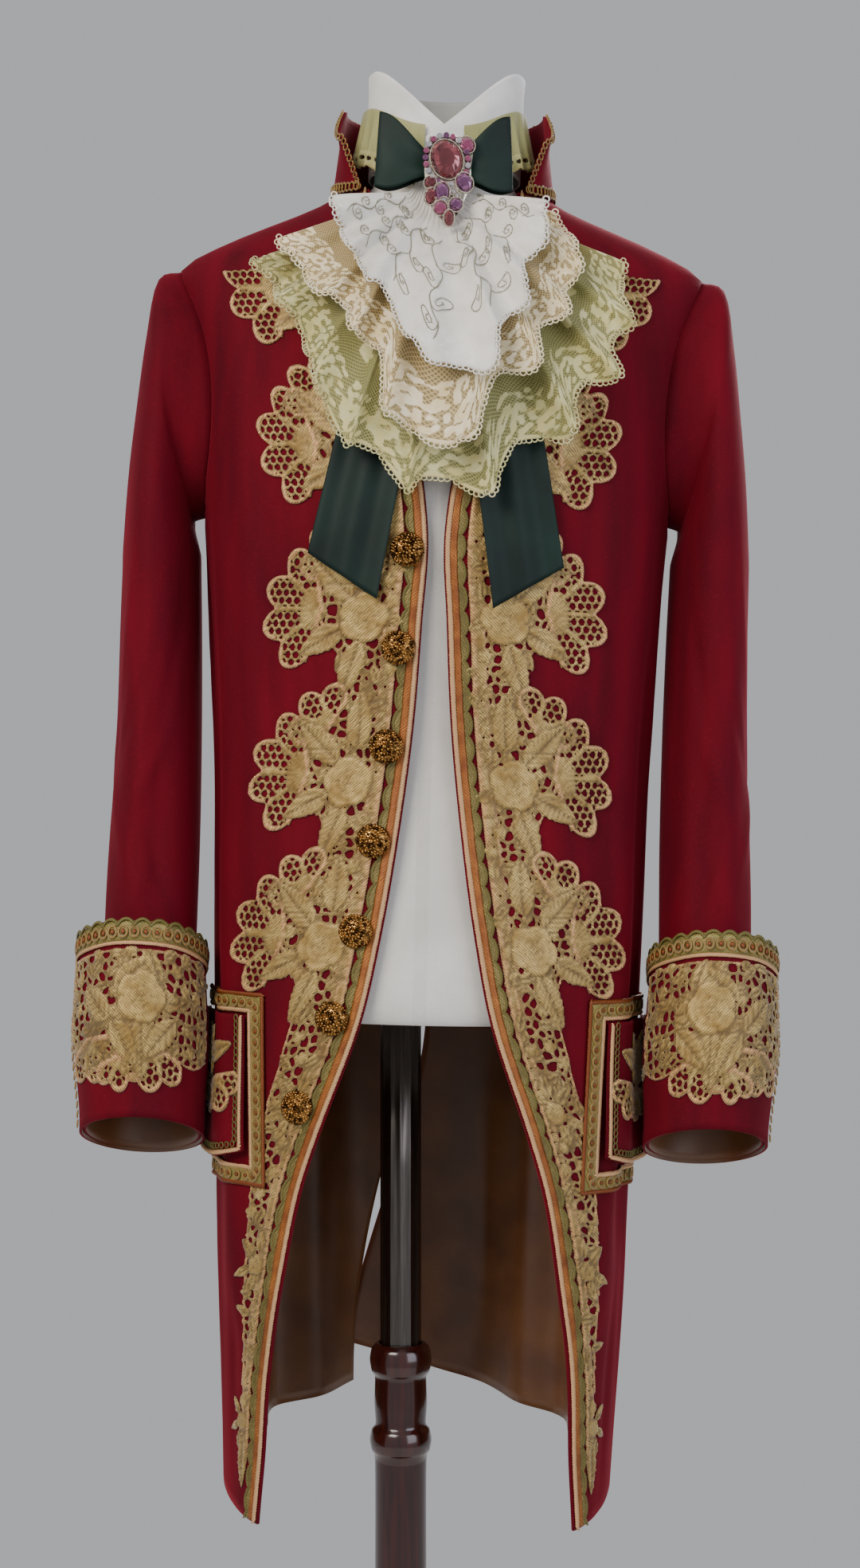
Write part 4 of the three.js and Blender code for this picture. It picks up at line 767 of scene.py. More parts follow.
def blossom(x, y, radius):
    """A small five-petalled flower with a knot in its middle."""
    r, a = np.hypot(x, y), np.arctan2(y, x)
    petal = np.abs(np.cos(2.5 * a))
    height = 0.35 + 0.65 * petal * np.clip(r / radius, 0, 1)
    return radius * (0.62 + 0.38 * petal ** 0.8) - r, np.where(r < 0.28 * radius, 1.2, height), 0 * r


def fan(x, y, size, lobes, pitch=6.6):
    """A half-open fan along x: a fluted shell at the base, honeycomb net, and a corded scalloped edge."""
    r, a = np.hypot(x, y), np.arctan2(y, x)
    span = math.radians(150)
    share = (a / span + 0.5) * lobes
    lobe = np.abs(np.sin(math.pi * share))
    rim = size * (0.76 + 0.24 * lobe ** 0.9)
    from_rim = np.minimum(rim - r, (span / 2 - np.abs(a)) * np.maximum(r, 1) + 1.2)
    from_rim = np.where(np.abs(a) > 2.4, -r, from_rim)
    past_shell = r > 0.34 * size
    net = (from_rim > 3.4) & past_shell & (r * np.abs(np.sin(math.pi * share) * span / lobes / math.pi) > 1.3)
    cell = honeycomb(x + 1.1, y, pitch)
    inside = np.where(net, np.minimum(from_rim, cell - 0.39 * pitch), from_rim)
    picots = 0.5 + 0.5 * np.cos(a * size / 1.15)
    ribs = 0.5 + 0.5 * np.cos(a * 26)
    height = np.where(r < 0.34 * size, 0.35 + 0.55 * ribs, np.where(net, 0.5, 0.6 + 0.35 * picots))
    height = np.where((from_rim < 3.4) & past_shell, 0.9, height)
    return inside, height, np.where((from_rim > 0.8) & (from_rim < 3.4), 1.0, 0.0)


def lay(field, grid_x, grid_y, motif, at, turn=0.0, grow=1.0, reach=60.0, **sizes):
    """Lays a motif over what is there already, at a place of the grid, turned by degrees and grown."""
    inside, height, cord = field
    rows = np.flatnonzero(np.abs(grid_y[:, 0] - at[1]) < reach * grow)
    cols = np.flatnonzero(np.abs(grid_x[0] - at[0]) < reach * grow)
    if not len(rows) or not len(cols):
        return
    part = np.s_[rows[0]:rows[-1] + 1, cols[0]:cols[-1] + 1]
    x, y = (grid_x[part] - at[0]) / grow, (grid_y[part] - at[1]) / grow
    c, s = math.cos(math.radians(turn)), math.sin(math.radians(turn))
    new_inside, new_height, new_cord = motif(x * c + y * s, -x * s + y * c, **sizes)
    new_inside = new_inside * grow
    rounded_edge = smooth(new_inside, -0.2, 1.0)
    raised = new_height + 0.45 * np.exp(-((new_inside - 1.1) / 0.7) ** 2)
    groove = 1 - 0.75 * smooth(new_inside, -3.0, -0.3)
    height[part] = np.where(new_inside > -0.2, raised * rounded_edge, height[part] * groove)
    cord[part] = np.where(new_inside > 0, new_cord, cord[part])
    inside[part] = np.maximum(inside[part], new_inside)


def band(x, y, half_long, half_wide, scallop=0.0, pitch=9.0, holes=0.0):
    """A strip along y with scalloped edges, and a row of round holes when a size is given."""
    width = half_wide + scallop * (np.abs(np.cos(math.pi * y / pitch)) - 0.5)
    inside = np.minimum(width - np.abs(x), half_long - np.abs(y))
    if holes:
        inside = np.minimum(inside, np.hypot(x, (y + pitch / 2) % pitch - pitch / 2) - holes)
    height = 0.3 + 0.5 * np.exp(-((width - np.abs(x) - 1.0) / 0.9) ** 2)
    return inside, height, np.exp(-((width - np.abs(x) - 1.0) / 0.8) ** 2)


def bars(grid_x, grid_y, cell, thick, seed):
    """A ground of thin bars between uneven cells: how far inside a bar each point is."""
    dice = np.random.default_rng(seed)
    i, j = np.floor(grid_x / cell).astype(int), np.floor(grid_y / cell).astype(int)
    low_i, low_j = i.min() - 1, j.min() - 1
    jitter = dice.uniform(0.14, 0.86, (i.max() - low_i + 2, j.max() - low_j + 2, 2))
    found = []
    for di in (-1, 0, 1):
        for dj in (-1, 0, 1):
            spot = jitter[i - low_i + di, j - low_j + dj]
            away_x, away_y = (i + di + spot[..., 0]) * cell - grid_x, (j + dj + spot[..., 1]) * cell - grid_y
            found.append(np.hypot(away_x, away_y))
    near = np.partition(np.stack(found), 1, axis=0)
    return thick / 2 - (near[1] - near[0]) / 2


def sprays(field, grid_x, grid_y, within, spacing, seed):
    """Fills the ground with small flowers and leaves wherever there is room for them."""
    dice = random.Random(seed)
    step_x, step_y = grid_x[0, 1] - grid_x[0, 0], grid_y[1, 0] - grid_y[0, 0]
    row = 0
    for y in np.arange(grid_y[0, 0], grid_y[-1, 0], spacing * 0.85):
        row += 1
        for x in np.arange(grid_x[0, 0] + (row % 2) * spacing / 2, grid_x[0, -1], spacing):
            at = (x + dice.uniform(-0.2, 0.2) * spacing, y + dice.uniform(-0.2, 0.2) * spacing)
            i = int(np.clip((at[1] - grid_y[0, 0]) / step_y, 0, grid_y.shape[0] - 1))
            j = int(np.clip((at[0] - grid_x[0, 0]) / step_x, 0, grid_x.shape[1] - 1))
            turn, kind = dice.uniform(0, 360), dice.random()
            if within[i, j] < 2.5:
                continue
            if kind < 0.4:
                lay(field, grid_x, grid_y, blossom, at, turn, 1, 12, radius=0.36 * spacing)
            else:
                lay(field, grid_x, grid_y, leaf, at, turn, 1, 24, long=1.05 * spacing, wide=0.5 * spacing)


def lace_sheet(name, grid_x, grid_y, field, place, material, relief=1.35, base=0.5, thick=0.7):
    """A closed sheet cut out where the field is positive, with smooth outlines.

    place(x, y, lift) gives points. Returns the sheet, its flat size and the cloth left in it, in metres. The
    marks "cord" and "hollow" are kept on its points for its material.
    """
    inside, height, cord = field
    inside = inside.copy()
    inside[0], inside[-1], inside[:, 0], inside[:, -1] = -1, -1, -1, -1
    low, flat_top = place(grid_x, grid_y, base), place(grid_x, grid_y, base + thick)
    top = flat_top + (place(grid_x, grid_y, base + thick + 1.0) - flat_top) * (relief * height)[..., None]
    place_up = place(grid_x, grid_y, base + 1.0) - low
    tops, lows, uvs, marks, hollows = [], [], [], [], []
    known = {}

    def corner(i, j):
        """The sheet's own number for a point of the grid."""
        key = (i, j)
        if key not in known:
            known[key] = len(tops)
            tops.append(top[i, j])
            lows.append(low[i, j])
            uvs.append((grid_x[i, j], grid_y[i, j]))
            marks.append(cord[i, j])
            # how low the relief lies here: gold thread paints shade by it, and net lace shows its net ground
            hollows.append(min(0.85, max(0.0, 0.8 - height[i, j])))
        return known[key]

    def crossing(i, j, k, m):
        """The number of the point where the outline crosses between two points of the grid."""
        key = (i, j, k, m) if (i, j) < (k, m) else (k, m, i, j)
        if key not in known:
            known[key] = len(tops)
            i, j, k, m = key
            t = inside[i, j] / (inside[i, j] - inside[k, m])
            rim = low[i, j] * (1 - t) + low[k, m] * t
            lift = (place_up[i, j] * (1 - t) + place_up[k, m] * t) * thick
            tops.append(rim + lift)
            lows.append(rim)
            uvs.append(tuple(grid[i, j] * (1 - t) + grid[k, m] * t for grid in (grid_x, grid_y)))
            marks.append(cord[i, j] if inside[i, j] > 0 else cord[k, m])
            # the cut outline counts as partly low, so gold thread paints some shade on it
            hollows.append(0.35)
        return known[key]

    filled = inside > 0
    touched = filled[:-1, :-1] | filled[:-1, 1:] | filled[1:, 1:] | filled[1:, :-1]
    faces, edges = [], []
    for i, j in zip(*np.nonzero(touched)):
        around = ((i, j), (i, j + 1), (i + 1, j + 1), (i + 1, j))
        face, kinds = [], []
        for here, there in zip(around, around[1:] + around[:1]):
            if filled[here]:
                face.append(corner(*here))
                kinds.append("in")
            if filled[here] != filled[there]:
                face.append(crossing(*here, *there))
                kinds.append("out" if filled[here] else "back")
        faces.append(face)
        for k, kind in enumerate(kinds):
            if kind == "out":
                edges.append((face[k], face[(k + 1) % len(face)]))
    n = len(tops)
    sides = [(b, a, a + n, b + n) for a, b in edges]
    under = [[v + n for v in face[::-1]] for face in faces]
    points = np.array(tops + lows)
    every = faces + under + sides
    if np.dot(np.cross(top[0, 1] - top[0, 0], top[1, 0] - top[0, 0]), place_up[0, 0]) < 0:
        every = [list(f)[::-1] for f in every]
    made = mesh_object(name, stand_on_pole(points), every, [material], None, np.array(uvs * 2) / 1000)
    for mark, values in (("cord", marks), ("hollow", hollows)):
        layer = made.data.attributes.new(mark, "FLOAT", "POINT")
        layer.data.foreach_set("value", np.array(values * 2, np.float32))
    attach(made, "root")
    span = (np.ptp([u[0] for u in uvs]) / 1000, np.ptp([u[1] for u in uvs]) / 1000)
    step = grid_x[0, 1] - grid_x[0, 0]
    cut = float(np.clip(inside / step + 0.5, 0, 1).sum() * step ** 2 / 1e6)
    return made, (float(span[0]), float(span[1])), cut


def blank(grid_x):
    """An empty field: nothing inside, flat and without cord."""
    return [np.full(grid_x.shape, -5.0), np.zeros(grid_x.shape), np.zeros(grid_x.shape)]


def front_place(side, x, y, lift):
    """Points of a front this many mm from its edge, at a height, lifted off the cloth."""
    share = np.linspace(0, 1, 90)
    z = y[:, 0]
    start = edge_angle(z)
    angles = start[:, None] + (seam_angle(z) - start)[:, None] * share[None]
    step = np.hypot(np.cos(angles) * half_width(z)[:, None], np.sin(angles) * front_depth(z)[:, None])
    steps = (step[:, 1:] + step[:, :-1]) / 2 * np.diff(angles)
    run = np.concatenate([0 * z[:, None], np.cumsum(steps, axis=1)], 1)
    angle = np.stack([np.interp(x[k], run[k], angles[k]) for k in range(len(z))])
    return body_point(side, angle, y, lift)


# The repeat down a front: a rose, leaves round it and fans above the waist. Places are mm from the edge and
# from the rose, turns are in degrees. Below the waist the same motifs grow smaller towards the tip.
ROSE_PITCH, LOWEST_ROSE, ROSE_ALONG, ROSE_RADIUS = 122, 512, 44, 19
LACE_NEAR, FANS_ABOVE, SKIRT_BELOW, LACE_END = 16, 860, 800, 1390
LACE_STEP = 1.8  # of the grid that the lace is cut out on, in mm
BAR_CELL, BAR_THICK, SPRAY_APART = 8.2, 2.0, 15.5
# from the edge, up, turn, length, width
FRONT_LEAVES = [(54, 15, 42, 45, 22), (40, 26, 88, 42, 21), (60, -8, -30, 38, 21), (46, -18, -74, 42, 20)]
# from the edge, up, turn, size, lobes
FRONT_FANS = [(64, 40, 46, 34, 3), (76, 6, 2, 52, 4)]
for side, hand in HANDS.items():
    grid_x, grid_y = np.meshgrid(np.arange(13, 134, LACE_STEP), np.arange(452, LACE_END, LACE_STEP))
    field = blank(grid_x)
    lay(field, grid_x, grid_y, band, (24, (FANS_ABOVE + LACE_END) / 2), 0, 1, 700, half_long=300,
        half_wide=4.5, scallop=2.2, pitch=9, holes=1.5)
    lay(field, grid_x, grid_y, band, (21, 670), 0, 1, 700, half_long=184, half_wide=3.6, scallop=1.8, pitch=8,
        holes=1.2)
    wave = np.cos(math.pi * (grid_y - LOWEST_ROSE - 8) / ROSE_PITCH) ** 2
    upper = 56 + 24 * wave ** 1.4
    skirt = 24 + 30 * smooth(grid_y, 470, 800)
    reach = skirt + (upper - skirt) * smooth(grid_y, 780, 880)
    within = np.minimum(np.minimum(reach - grid_x, grid_x - 17.5), grid_y - 482)
    ground = np.minimum(bars(grid_x, grid_y, BAR_CELL, BAR_THICK, 11 + side), within)
    rim_cord = 0.95 - np.abs(within - 0.9)
    field[0] = np.maximum(field[0], np.maximum(ground, rim_cord))
    field[1] = np.where(field[0] > 0, np.maximum(field[1], 0.5 + 0.4 * (rim_cord > 0)), field[1])
    field[2] = np.where(rim_cord > 0, 0.8, field[2])
    sprays(field, grid_x, grid_y, within, SPRAY_APART, 5 + side)
    for k in range(7, -1, -1):
        z = LOWEST_ROSE + k * ROSE_PITCH
        on_skirt = z <= SKIRT_BELOW
        grow = 0.36 + 0.12 * (z - LOWEST_ROSE) / (SKIRT_BELOW - LOWEST_ROSE) if on_skirt else 1.0
        if z > FANS_ABOVE:
            for along, up, turn, size, lobes in FRONT_FANS:
                lay(field, grid_x, grid_y, fan, (along, z + up), turn, 1, 66, size=size, lobes=lobes)
        for along, up, turn, long, wide in FRONT_LEAVES:
            at = (LACE_NEAR + (along - LACE_NEAR) * grow, z + up * grow)
            lay(field, grid_x, grid_y, leaf, at, turn, grow, 60, long=long, wide=wide)
        lay(field, grid_x, grid_y, rose, (LACE_NEAR + (ROSE_ALONG - LACE_NEAR) * grow, z), 20 * k, grow, 40,
            radius=ROSE_RADIUS)
    lay(field, grid_x, grid_y, leaf, (25, LOWEST_ROSE - 8), -94, 1, 60, long=44, wide=12)
    made, *cut = lace_sheet(f"lace_{hand}_guipure", grid_x, grid_y, field,
                            lambda x, y, lift: front_place(side, x, y, lift), gold_lace)
    declare(made, *cut, "laid", [f"front_{hand}_velvet"], "gold_lace", f"lace_{hand}")


# Cuff lace: the same straw-gold guipure sewn on the front of each cuff, a rose among leaves with fans that
# hang towards the hand.

# kind, degrees round the cuff, up from the wrist, turn, size
CUFF_MOTIFS = [("fan", 46, 60, -76, 34), ("fan", 106, 52, -96, 34), ("fan", 76, 44, -88, 26),
               ("leaf", 74, 96, 35, 38), ("leaf", 112, 100, 110, 26), ("leaf", 128, 84, 170, 38),
               ("leaf", 62, 74, -12, 40), ("leaf", 67, 72, 130, 38), ("leaf", 96, 70, -90, 42),
               ("leaf", 124, 72, -130, 38), ("leaf", 72, 70, -60, 38), ("rose", 96, 88, 0, 20)]
CUFF_ROUND, CUFF_TALL = 56.0, 146.0
for side, hand in HANDS.items():
    grid_x, grid_y = np.meshgrid(np.arange(8, 176, LACE_STEP), np.arange(2, 128, LACE_STEP))
    hang = 40 + 12 * np.cos((grid_x - 96) / 17) + 0.004 * (grid_x - 88) ** 2
    within = np.minimum(np.minimum(grid_y - hang, 124 - grid_y), 72 - np.abs(grid_x - 88))
    rim_cord = 0.95 - np.abs(within - 0.9)
    ground = np.maximum(np.minimum(bars(grid_x, grid_y, BAR_CELL, BAR_THICK, 31 + side), within), rim_cord)
    field = [ground, np.where(rim_cord > 0, 0.9, 0.5), np.where(rim_cord > 0, 0.8, 0.0)]
    sprays(field, grid_x, grid_y, within, SPRAY_APART, 21 + side)
    for kind, around, up, turn, size in CUFF_MOTIFS:
        motif, sizes = {"fan": (fan, {"size": size, "lobes": 3}), "rose": (rose, {"radius": size}),
                        "leaf": (leaf, {"long": size, "wide": size * 0.52})}[kind]
        lay(field, grid_x, grid_y, motif, (math.radians(around) * CUFF_ROUND, up), turn, 1, 62, **sizes)
    made, *cut = lace_sheet(f"cuff_lace_{hand}_guipure", grid_x, grid_y, field,
                            lambda x, y, lift: cuff_point(side, x / CUFF_ROUND, y / CUFF_TALL, CLOTH + lift),
                            gold_lace)
    declare(made, *cut, "laid", [f"cuff_{hand}_velvet"], "gold_lace", f"cuff_lace_{hand}")


# Front edges: beside a narrow velvet lip lie a twisted cream and gold cord, a flat rust-gold braid and an
# olive-gold gimp with a scalloped outer side, all sewn on by hand from the neck to the tip of each front.
def ring_of_rings(rings):
    """Quads between neighbouring rings of as many points."""
    count = len(rings[0])
    faces = []
    for k in range(len(rings) - 1):
        for i in range(count):
            j = (i + 1) % count
            faces.append((k * count + i, k * count + j, (k + 1) * count + j, (k + 1) * count + i))
    return np.concatenate(rings), faces


def ply_unit():
    """One turn of a twisted cord, a spindle along x. Units have z off the cloth."""
    turn = turns_of(5)
    rings = [np.stack([0 * turn + x, r * np.cos(turn), r * np.sin(turn)], -1)
             for x, r in ((-0.9, 0.4), (0, 1), (0.9, 0.4))]
    points, faces = ring_of_rings(rings)
    return mesh_object("ply", points * (1, 0.5, 0.5), faces + [range(4, -1, -1), range(10, 15)], [])


def loop_unit():
    """One loop of gimp: a ring of thread lying on the cloth."""
    around, section = turns_of(12), turns_of(4)
    out = 1 + 0.27 * np.cos(section)
    rings = [np.stack([out * math.cos(a), out * math.sin(a), 0.27 * np.sin(section)], -1) for a in around]
    points, faces = ring_of_rings(rings + [rings[0]])
    count = 12 * 4
    return mesh_object("loop", points[:count], [[v % count for v in face] for face in faces], [])


def bead_unit():
    """A bead: a ball of four rings of six points and two poles."""
    turn = turns_of(6)
    tilts = [math.pi * k / 5 for k in range(1, 5)]
    rings = [np.stack([math.sin(a) * np.cos(turn), math.sin(a) * np.sin(turn), 0 * turn - math.cos(a)], -1)
             for a in tilts]
    points, faces = ring_of_rings(rings)
    points = np.concatenate([points, [(0, 0, -1), (0, 0, 1)]])
    faces += [(24, (i + 1) % 6, i) for i in range(6)] + [(25, 18 + i, 18 + (i + 1) % 6) for i in range(6)]
    return mesh_object("bead", points, faces, [])


def setting_tree():
    """A tree that sets one unit on every point, turned along the path and off the cloth."""
    tree = bpy.data.node_groups.new("set along", "GeometryNodeTree")
    for name, kind in (("Path", "Geometry"), ("Unit", "Object"), ("Size", "Vector"), ("Tilt", "Float"),
                       ("Spread", "Float"), ("Seed", "Int"), ("Material", "Material")):
        tree.interface.new_socket(name, in_out="INPUT", socket_type="NodeSocket" + kind)
    tree.interface.new_socket("Set", in_out="OUTPUT", socket_type="NodeSocketGeometry")
    given = add_node(tree, "NodeGroupInput").outputs
    marks = [add_node(tree, "GeometryNodeInputNamedAttribute", {"data_type": "FLOAT_VECTOR", "Name": name})
             for name in ("along", "off")]
    along, off = (mark.outputs["Attribute"] for mark in marks)
    upright = add_node(tree, "FunctionNodeAlignRotationToVector", {"axis": "Z"}, {"Vector": off})
    aligned = add_node(tree, "FunctionNodeAlignRotationToVector", {"axis": "X", "pivot_axis": "Z"},
                       {"Rotation": upright.outputs[0], "Vector": along})
    tilt = add_node(tree, "FunctionNodeAxisAngleToRotation", {"Axis": (0, 0, 1)}, {"Angle": given["Tilt"]})
    turned = add_node(tree, "FunctionNodeRotateRotation", {"rotation_space": "LOCAL"},
                      {"Rotation": aligned.outputs[0], "Rotate By": tilt.outputs[0]})
    least, most = maths(tree, "SUBTRACT", 1.0, given["Spread"]), maths(tree, "ADD", 1.0, given["Spread"])
    chance = add_node(tree, "FunctionNodeRandomValue", {"data_type": "FLOAT"},
                      {2: least, 3: most, "Seed": given["Seed"]})
    size = add_node(tree, "ShaderNodeVectorMath", {"operation": "SCALE"},
                    {"Vector": given["Size"], "Scale": chance.outputs[1]})
    unit = add_node(tree, "GeometryNodeObjectInfo", {}, {"Object": given["Unit"]})
    copies = add_node(tree, "GeometryNodeInstanceOnPoints", {},
                      {"Points": given["Path"], "Instance": unit.outputs["Geometry"],
                       "Rotation": turned.outputs[0], "Scale": size.outputs[0]})
    real = add_node(tree, "GeometryNodeRealizeInstances", {}, {"Geometry": copies.outputs[0]})
    painted = add_node(tree, "GeometryNodeSetMaterial", {},
                       {"Geometry": real.outputs[0], "Material": given["Material"]})
    add_node(tree, "NodeGroupOutput", {}, {"Set": painted.outputs[0]})
    return tree


set_along_tree = setting_tree()
units = {"ply": ply_unit(), "loop": loop_unit(), "bead": bead_unit()}


def spaced(points, lifted, spacing):
    """Places this many mm apart on a path: where, the way along it and the way off the cloth."""
    world = stand_on_pole(points)
    off = stand_on_pole(lifted) - world
    run = np.concatenate([[0], np.cumsum(np.linalg.norm(np.diff(world, axis=0), axis=1))]) * 1000
    wanted = np.linspace(0, run[-1], max(3, int(run[-1] / spacing) + 1))
    place, way = (np.stack([np.interp(wanted, run, v[:, k]) for k in range(3)], -1) for v in (world, off))
    along = np.gradient(place, axis=0)
    return place, along / np.linalg.norm(along, axis=1)[:, None], way / np.linalg.norm(way, axis=1)[:, None]


def set_along(name, unit, places, size_mm, tilt, material, slot, spread=0.06):
    """Sets a unit along paths and keeps the result as a plain mesh. places is a list of spaced paths."""
    where, along, off = (np.concatenate([path[k] for path in places]) for k in range(3))
    data = bpy.data.meshes.new(name)
    data.from_pydata([tuple(p) for p in where], [], [])
    for mark, values in (("along", along), ("off", off)):
        layer = data.attributes.new(mark, "FLOAT_VECTOR", "POINT")
        layer.data.foreach_set("vector", values.astype(np.float32).ravel())
    carrier = placed(name + "_path", data)
    modifier = carrier.modifiers.new("set", "NODES")
    modifier.node_group = set_along_tree
    sockets = set_along_tree.interface.items_tree
    ids = {item.name: item.identifier for item in sockets if item.in_out == "INPUT"}
    for key, value in (("Unit", units[unit]), ("Size", [s / 1000 for s in size_mm]),
                       ("Tilt", math.radians(tilt)), ("Spread", spread), ("Seed", 1), ("Material", material)):
        modifier[ids[key]] = value
    bpy.context.view_layer.update()
    mesh = bpy.data.meshes.new_from_object(carrier.evaluated_get(bpy.context.evaluated_depsgraph_get()))
    bpy.data.objects.remove(carrier)
    mesh.name = name
    mesh.polygons.foreach_set("use_smooth", np.full(len(mesh.polygons), True))
    dress(placed(name, mesh), slot)


# Three threads of one kind: pale pinkish cream, dull rust-gold and olive-gold, each with a slight gleam.
cream_cord = gold_thread("cream_gold_cord", "#c49a6e", "#ecd5ae", "#d9a87c",
                         {"Roughness": 0.42, "Metallic": 0.2})
rust_braid = gold_thread("rust_gold_braid", "#7a3d14", "#b9762f", "#d3a04c",
                         {"Roughness": 0.48, "Metallic": 0.3})
olive_gimp = gold_thread("olive_gold_gimp", "#6d6432", "#b3a35c", "#cdbd78",
                         {"Roughness": 0.5, "Metallic": 0.3})


def front_path(side, along, z, lift):
    """Points of a front along a line, with the same points one mm further off the cloth."""
    x, y = np.broadcast_arrays(along, z)
    x, y = x[:, None].astype(float), y[:, None].astype(float)
    return front_place(side, x, y, lift)[:, 0], front_place(side, x, y, lift + 1)[:, 0]


def scalloped(run, pitch, low, high):
    """A scalloped edge: how far it reaches at each place of its run."""
    return low + (high - low) * np.abs(np.sin(math.pi * run / pitch)) ** 0.6


EDGE_LOW, EDGE_HIGH = TIP_Z + 2.5, NECK_Z - 2
SCALLOP = 18.5
for side, hand in HANDS.items():
    z = np.linspace(EDGE_LOW, EDGE_HIGH, 340)
    x, y = np.meshgrid(np.linspace(4.4, 9.8, 5), z)
    plaits = np.cos(2 * math.pi * (y - np.abs(x - 7.1)) / 3.4)
    ridge = 1.45 + 0.35 * np.cos((x - 7.1) / 5.4 * math.pi) + 0.22 * plaits
    grid = front_place(side, x, y, ridge)
    made = shell(f"edge_braid_{hand}", grid, 1.0, side, [rust_braid, rust_braid, rust_braid])
    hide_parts(f"edge_trim_{hand}")
    grid_x, grid_y = np.meshgrid(np.arange(8.8, 17, 1.0), np.arange(EDGE_LOW - 2, EDGE_HIGH + 2, 1.8))
    rim = scalloped(grid_y, SCALLOP, 11.6, 15.4)
    rows_in = np.minimum(grid_y - EDGE_LOW, EDGE_HIGH - grid_y)
    inside = np.minimum(np.minimum(rim - grid_x, grid_x - 9.9), rows_in)
    height = 0.35 + 0.3 * np.cos(2 * math.pi * (grid_y + 1.5 * grid_x) / 2.6)
    made = lace_sheet(f"edge_gimp_{hand}", grid_x, grid_y, [inside, height, 0 * inside],
                      lambda x, y, lift: front_place(side, x, y, lift), olive_gimp, relief=0.5, thick=0.6)[0]
    z = np.linspace(EDGE_LOW, EDGE_HIGH, 1600)
    cords = [("edge_cord", 2.9, z, 1.5, (3.4, 2.9, 2.9), 2.1, cream_cord),
             ("edge_gimp_cord", scalloped(z, SCALLOP, 11.6, 15.4), z, 1.25, (2.3, 1.8, 1.8), 1.8, olive_gimp)]
    for name, along, line, lift, size, spacing, material in cords:
        path = spaced(*front_path(side, along, line, lift), spacing)
        set_along(f"{name}_{hand}", "ply", [path], size, 32 * side, material, "braid")


# Cuff bands: a gimp of gold loops with rust centres round each cuff's top, its upper side scalloped in
# olive. A line of the same gimp runs down the outside of the cuff, where its ends meet.
BAND_LOW, BAND_HIGH = 0.885, 0.992


def cuff_path(side, turn, part, lift):
    """Points of a cuff along a line, with the same points one mm further off the cloth."""
    turn, part = np.broadcast_arrays(turn, part)
    return cuff_point(side, turn, part, CLOTH + lift), cuff_point(side, turn, part, CLOTH + lift + 1)


for side, hand in HANDS.items():
    turn, part = np.meshgrid(turns_of(150), np.linspace(BAND_LOW, BAND_HIGH, 6))
    crown = 0.4 * np.sin((part - BAND_LOW) / (BAND_HIGH - BAND_LOW) * math.pi)
    grid = cuff_point(side, turn, part, CLOTH + 1.5 + crown)
    made = shell(f"cuff_band_{hand}", grid, 1.0, -side, [olive_gimp, olive_gimp, olive_gimp], ring=True)
    declare(made, *cut_size(grid, True), "laid", [f"cuff_{hand}_velvet"], "braid", f"cuff_trim_{hand}")
    around = np.linspace(0, 2 * math.pi, 900)
    middle = (BAND_LOW + BAND_HIGH) / 2 - 0.004
    loops = [spaced(*cuff_path(side, around, middle, 2.6), 8.6)]
    seam_part = np.linspace(0.03, 0.86, 200)
    seam_line = [spaced(*cuff_path(side, math.radians(14), seam_part, 1.6), 7.2)]
    cord_line = [spaced(*cuff_path(side, around, BAND_LOW - 0.006, 1.3), 1.9)]
    scallops = 0.965 + 0.035 * np.abs(np.sin(12 * around)) ** 0.6
    scallop_line = [spaced(*cuff_path(side, around, scallops, 2.2), 1.5)]
    for name, unit, places, size, tilt, material in (
            ("cuff_loops", "loop", loops, (3.4, 4.3, 2.6), 0, gold_lace),
            ("cuff_centres", "bead", loops, (1.7, 2.4, 1.1), 0, rust_braid),
            ("cuff_seam_loops", "loop", seam_line, (2.9, 2.4, 2.0), 0, gold_lace),
            ("cuff_cords", "ply", cord_line, (3.0, 2.4, 2.4), 32, cream_cord),
            ("cuff_scallops", "ply", scallop_line, (2.3, 1.9, 1.9), 32, olive_gimp)):
        set_along(f"{name}_{hand}", unit, places, size, tilt, material, "braid")


# Buttons: seven domes covered in close rows of small beads, sewn down the wearer's right front edge. The
# beads are polished metal, from dark to bright bronze, so that they glitter.
bead_metal, bead_tree, bead_shader = start_material("bronze_beads", {"Metallic": 1, "Roughness": 0.24})
bead_shades = spread_of(bead_tree, noise(bead_tree, object_place(bead_tree), 3.2, 1.0), 0.4, 0.6)
paint(bead_tree, bead_shader, bead_shades, linear("#3a2412"), linear("#b98a4c"))
# from the edge, height
BUTTON_ROWS = [(15, 1172), (16, 1100), (18, 1027), (18, 957), (19, 890), (22, 825), (24, 757)]
BUTTON_RADIUS, BUTTON_TALL, BUTTON_LIFT = 13.2, 10.0, 3.4
# share of the radius, share of the height
DOME_PROFILE = [(0.86, 0.0), (0.93, 0.08), (0.93, 0.2), (0.86, 0.42), (0.7, 0.66), (0.45, 0.84), (0.16, 0.92)]
# share of the radius, share of the height, beads in the row, size of a bead
BEAD_ROWS = [(0.97, 0.1, 34, 1.12), (0.93, 0.33, 32, 1.1), (0.82, 0.55, 27, 1.15), (0.66, 0.75, 21, 1.2),
             (0.46, 0.89, 14, 1.3), (0.25, 0.97, 8, 1.3), (0.02, 1.0, 1, 2.3)]


def frame_at(point, lifted):
    """A place on the cloth with two ways along it: point, across, up and off, in jacket mm."""
    off = (lifted - point) / np.linalg.norm(lifted - point)
    across = np.cross(np.array([0.0, 0, 1]), off)
    across /= np.linalg.norm(across)
    return point, across, np.cross(off, across), off


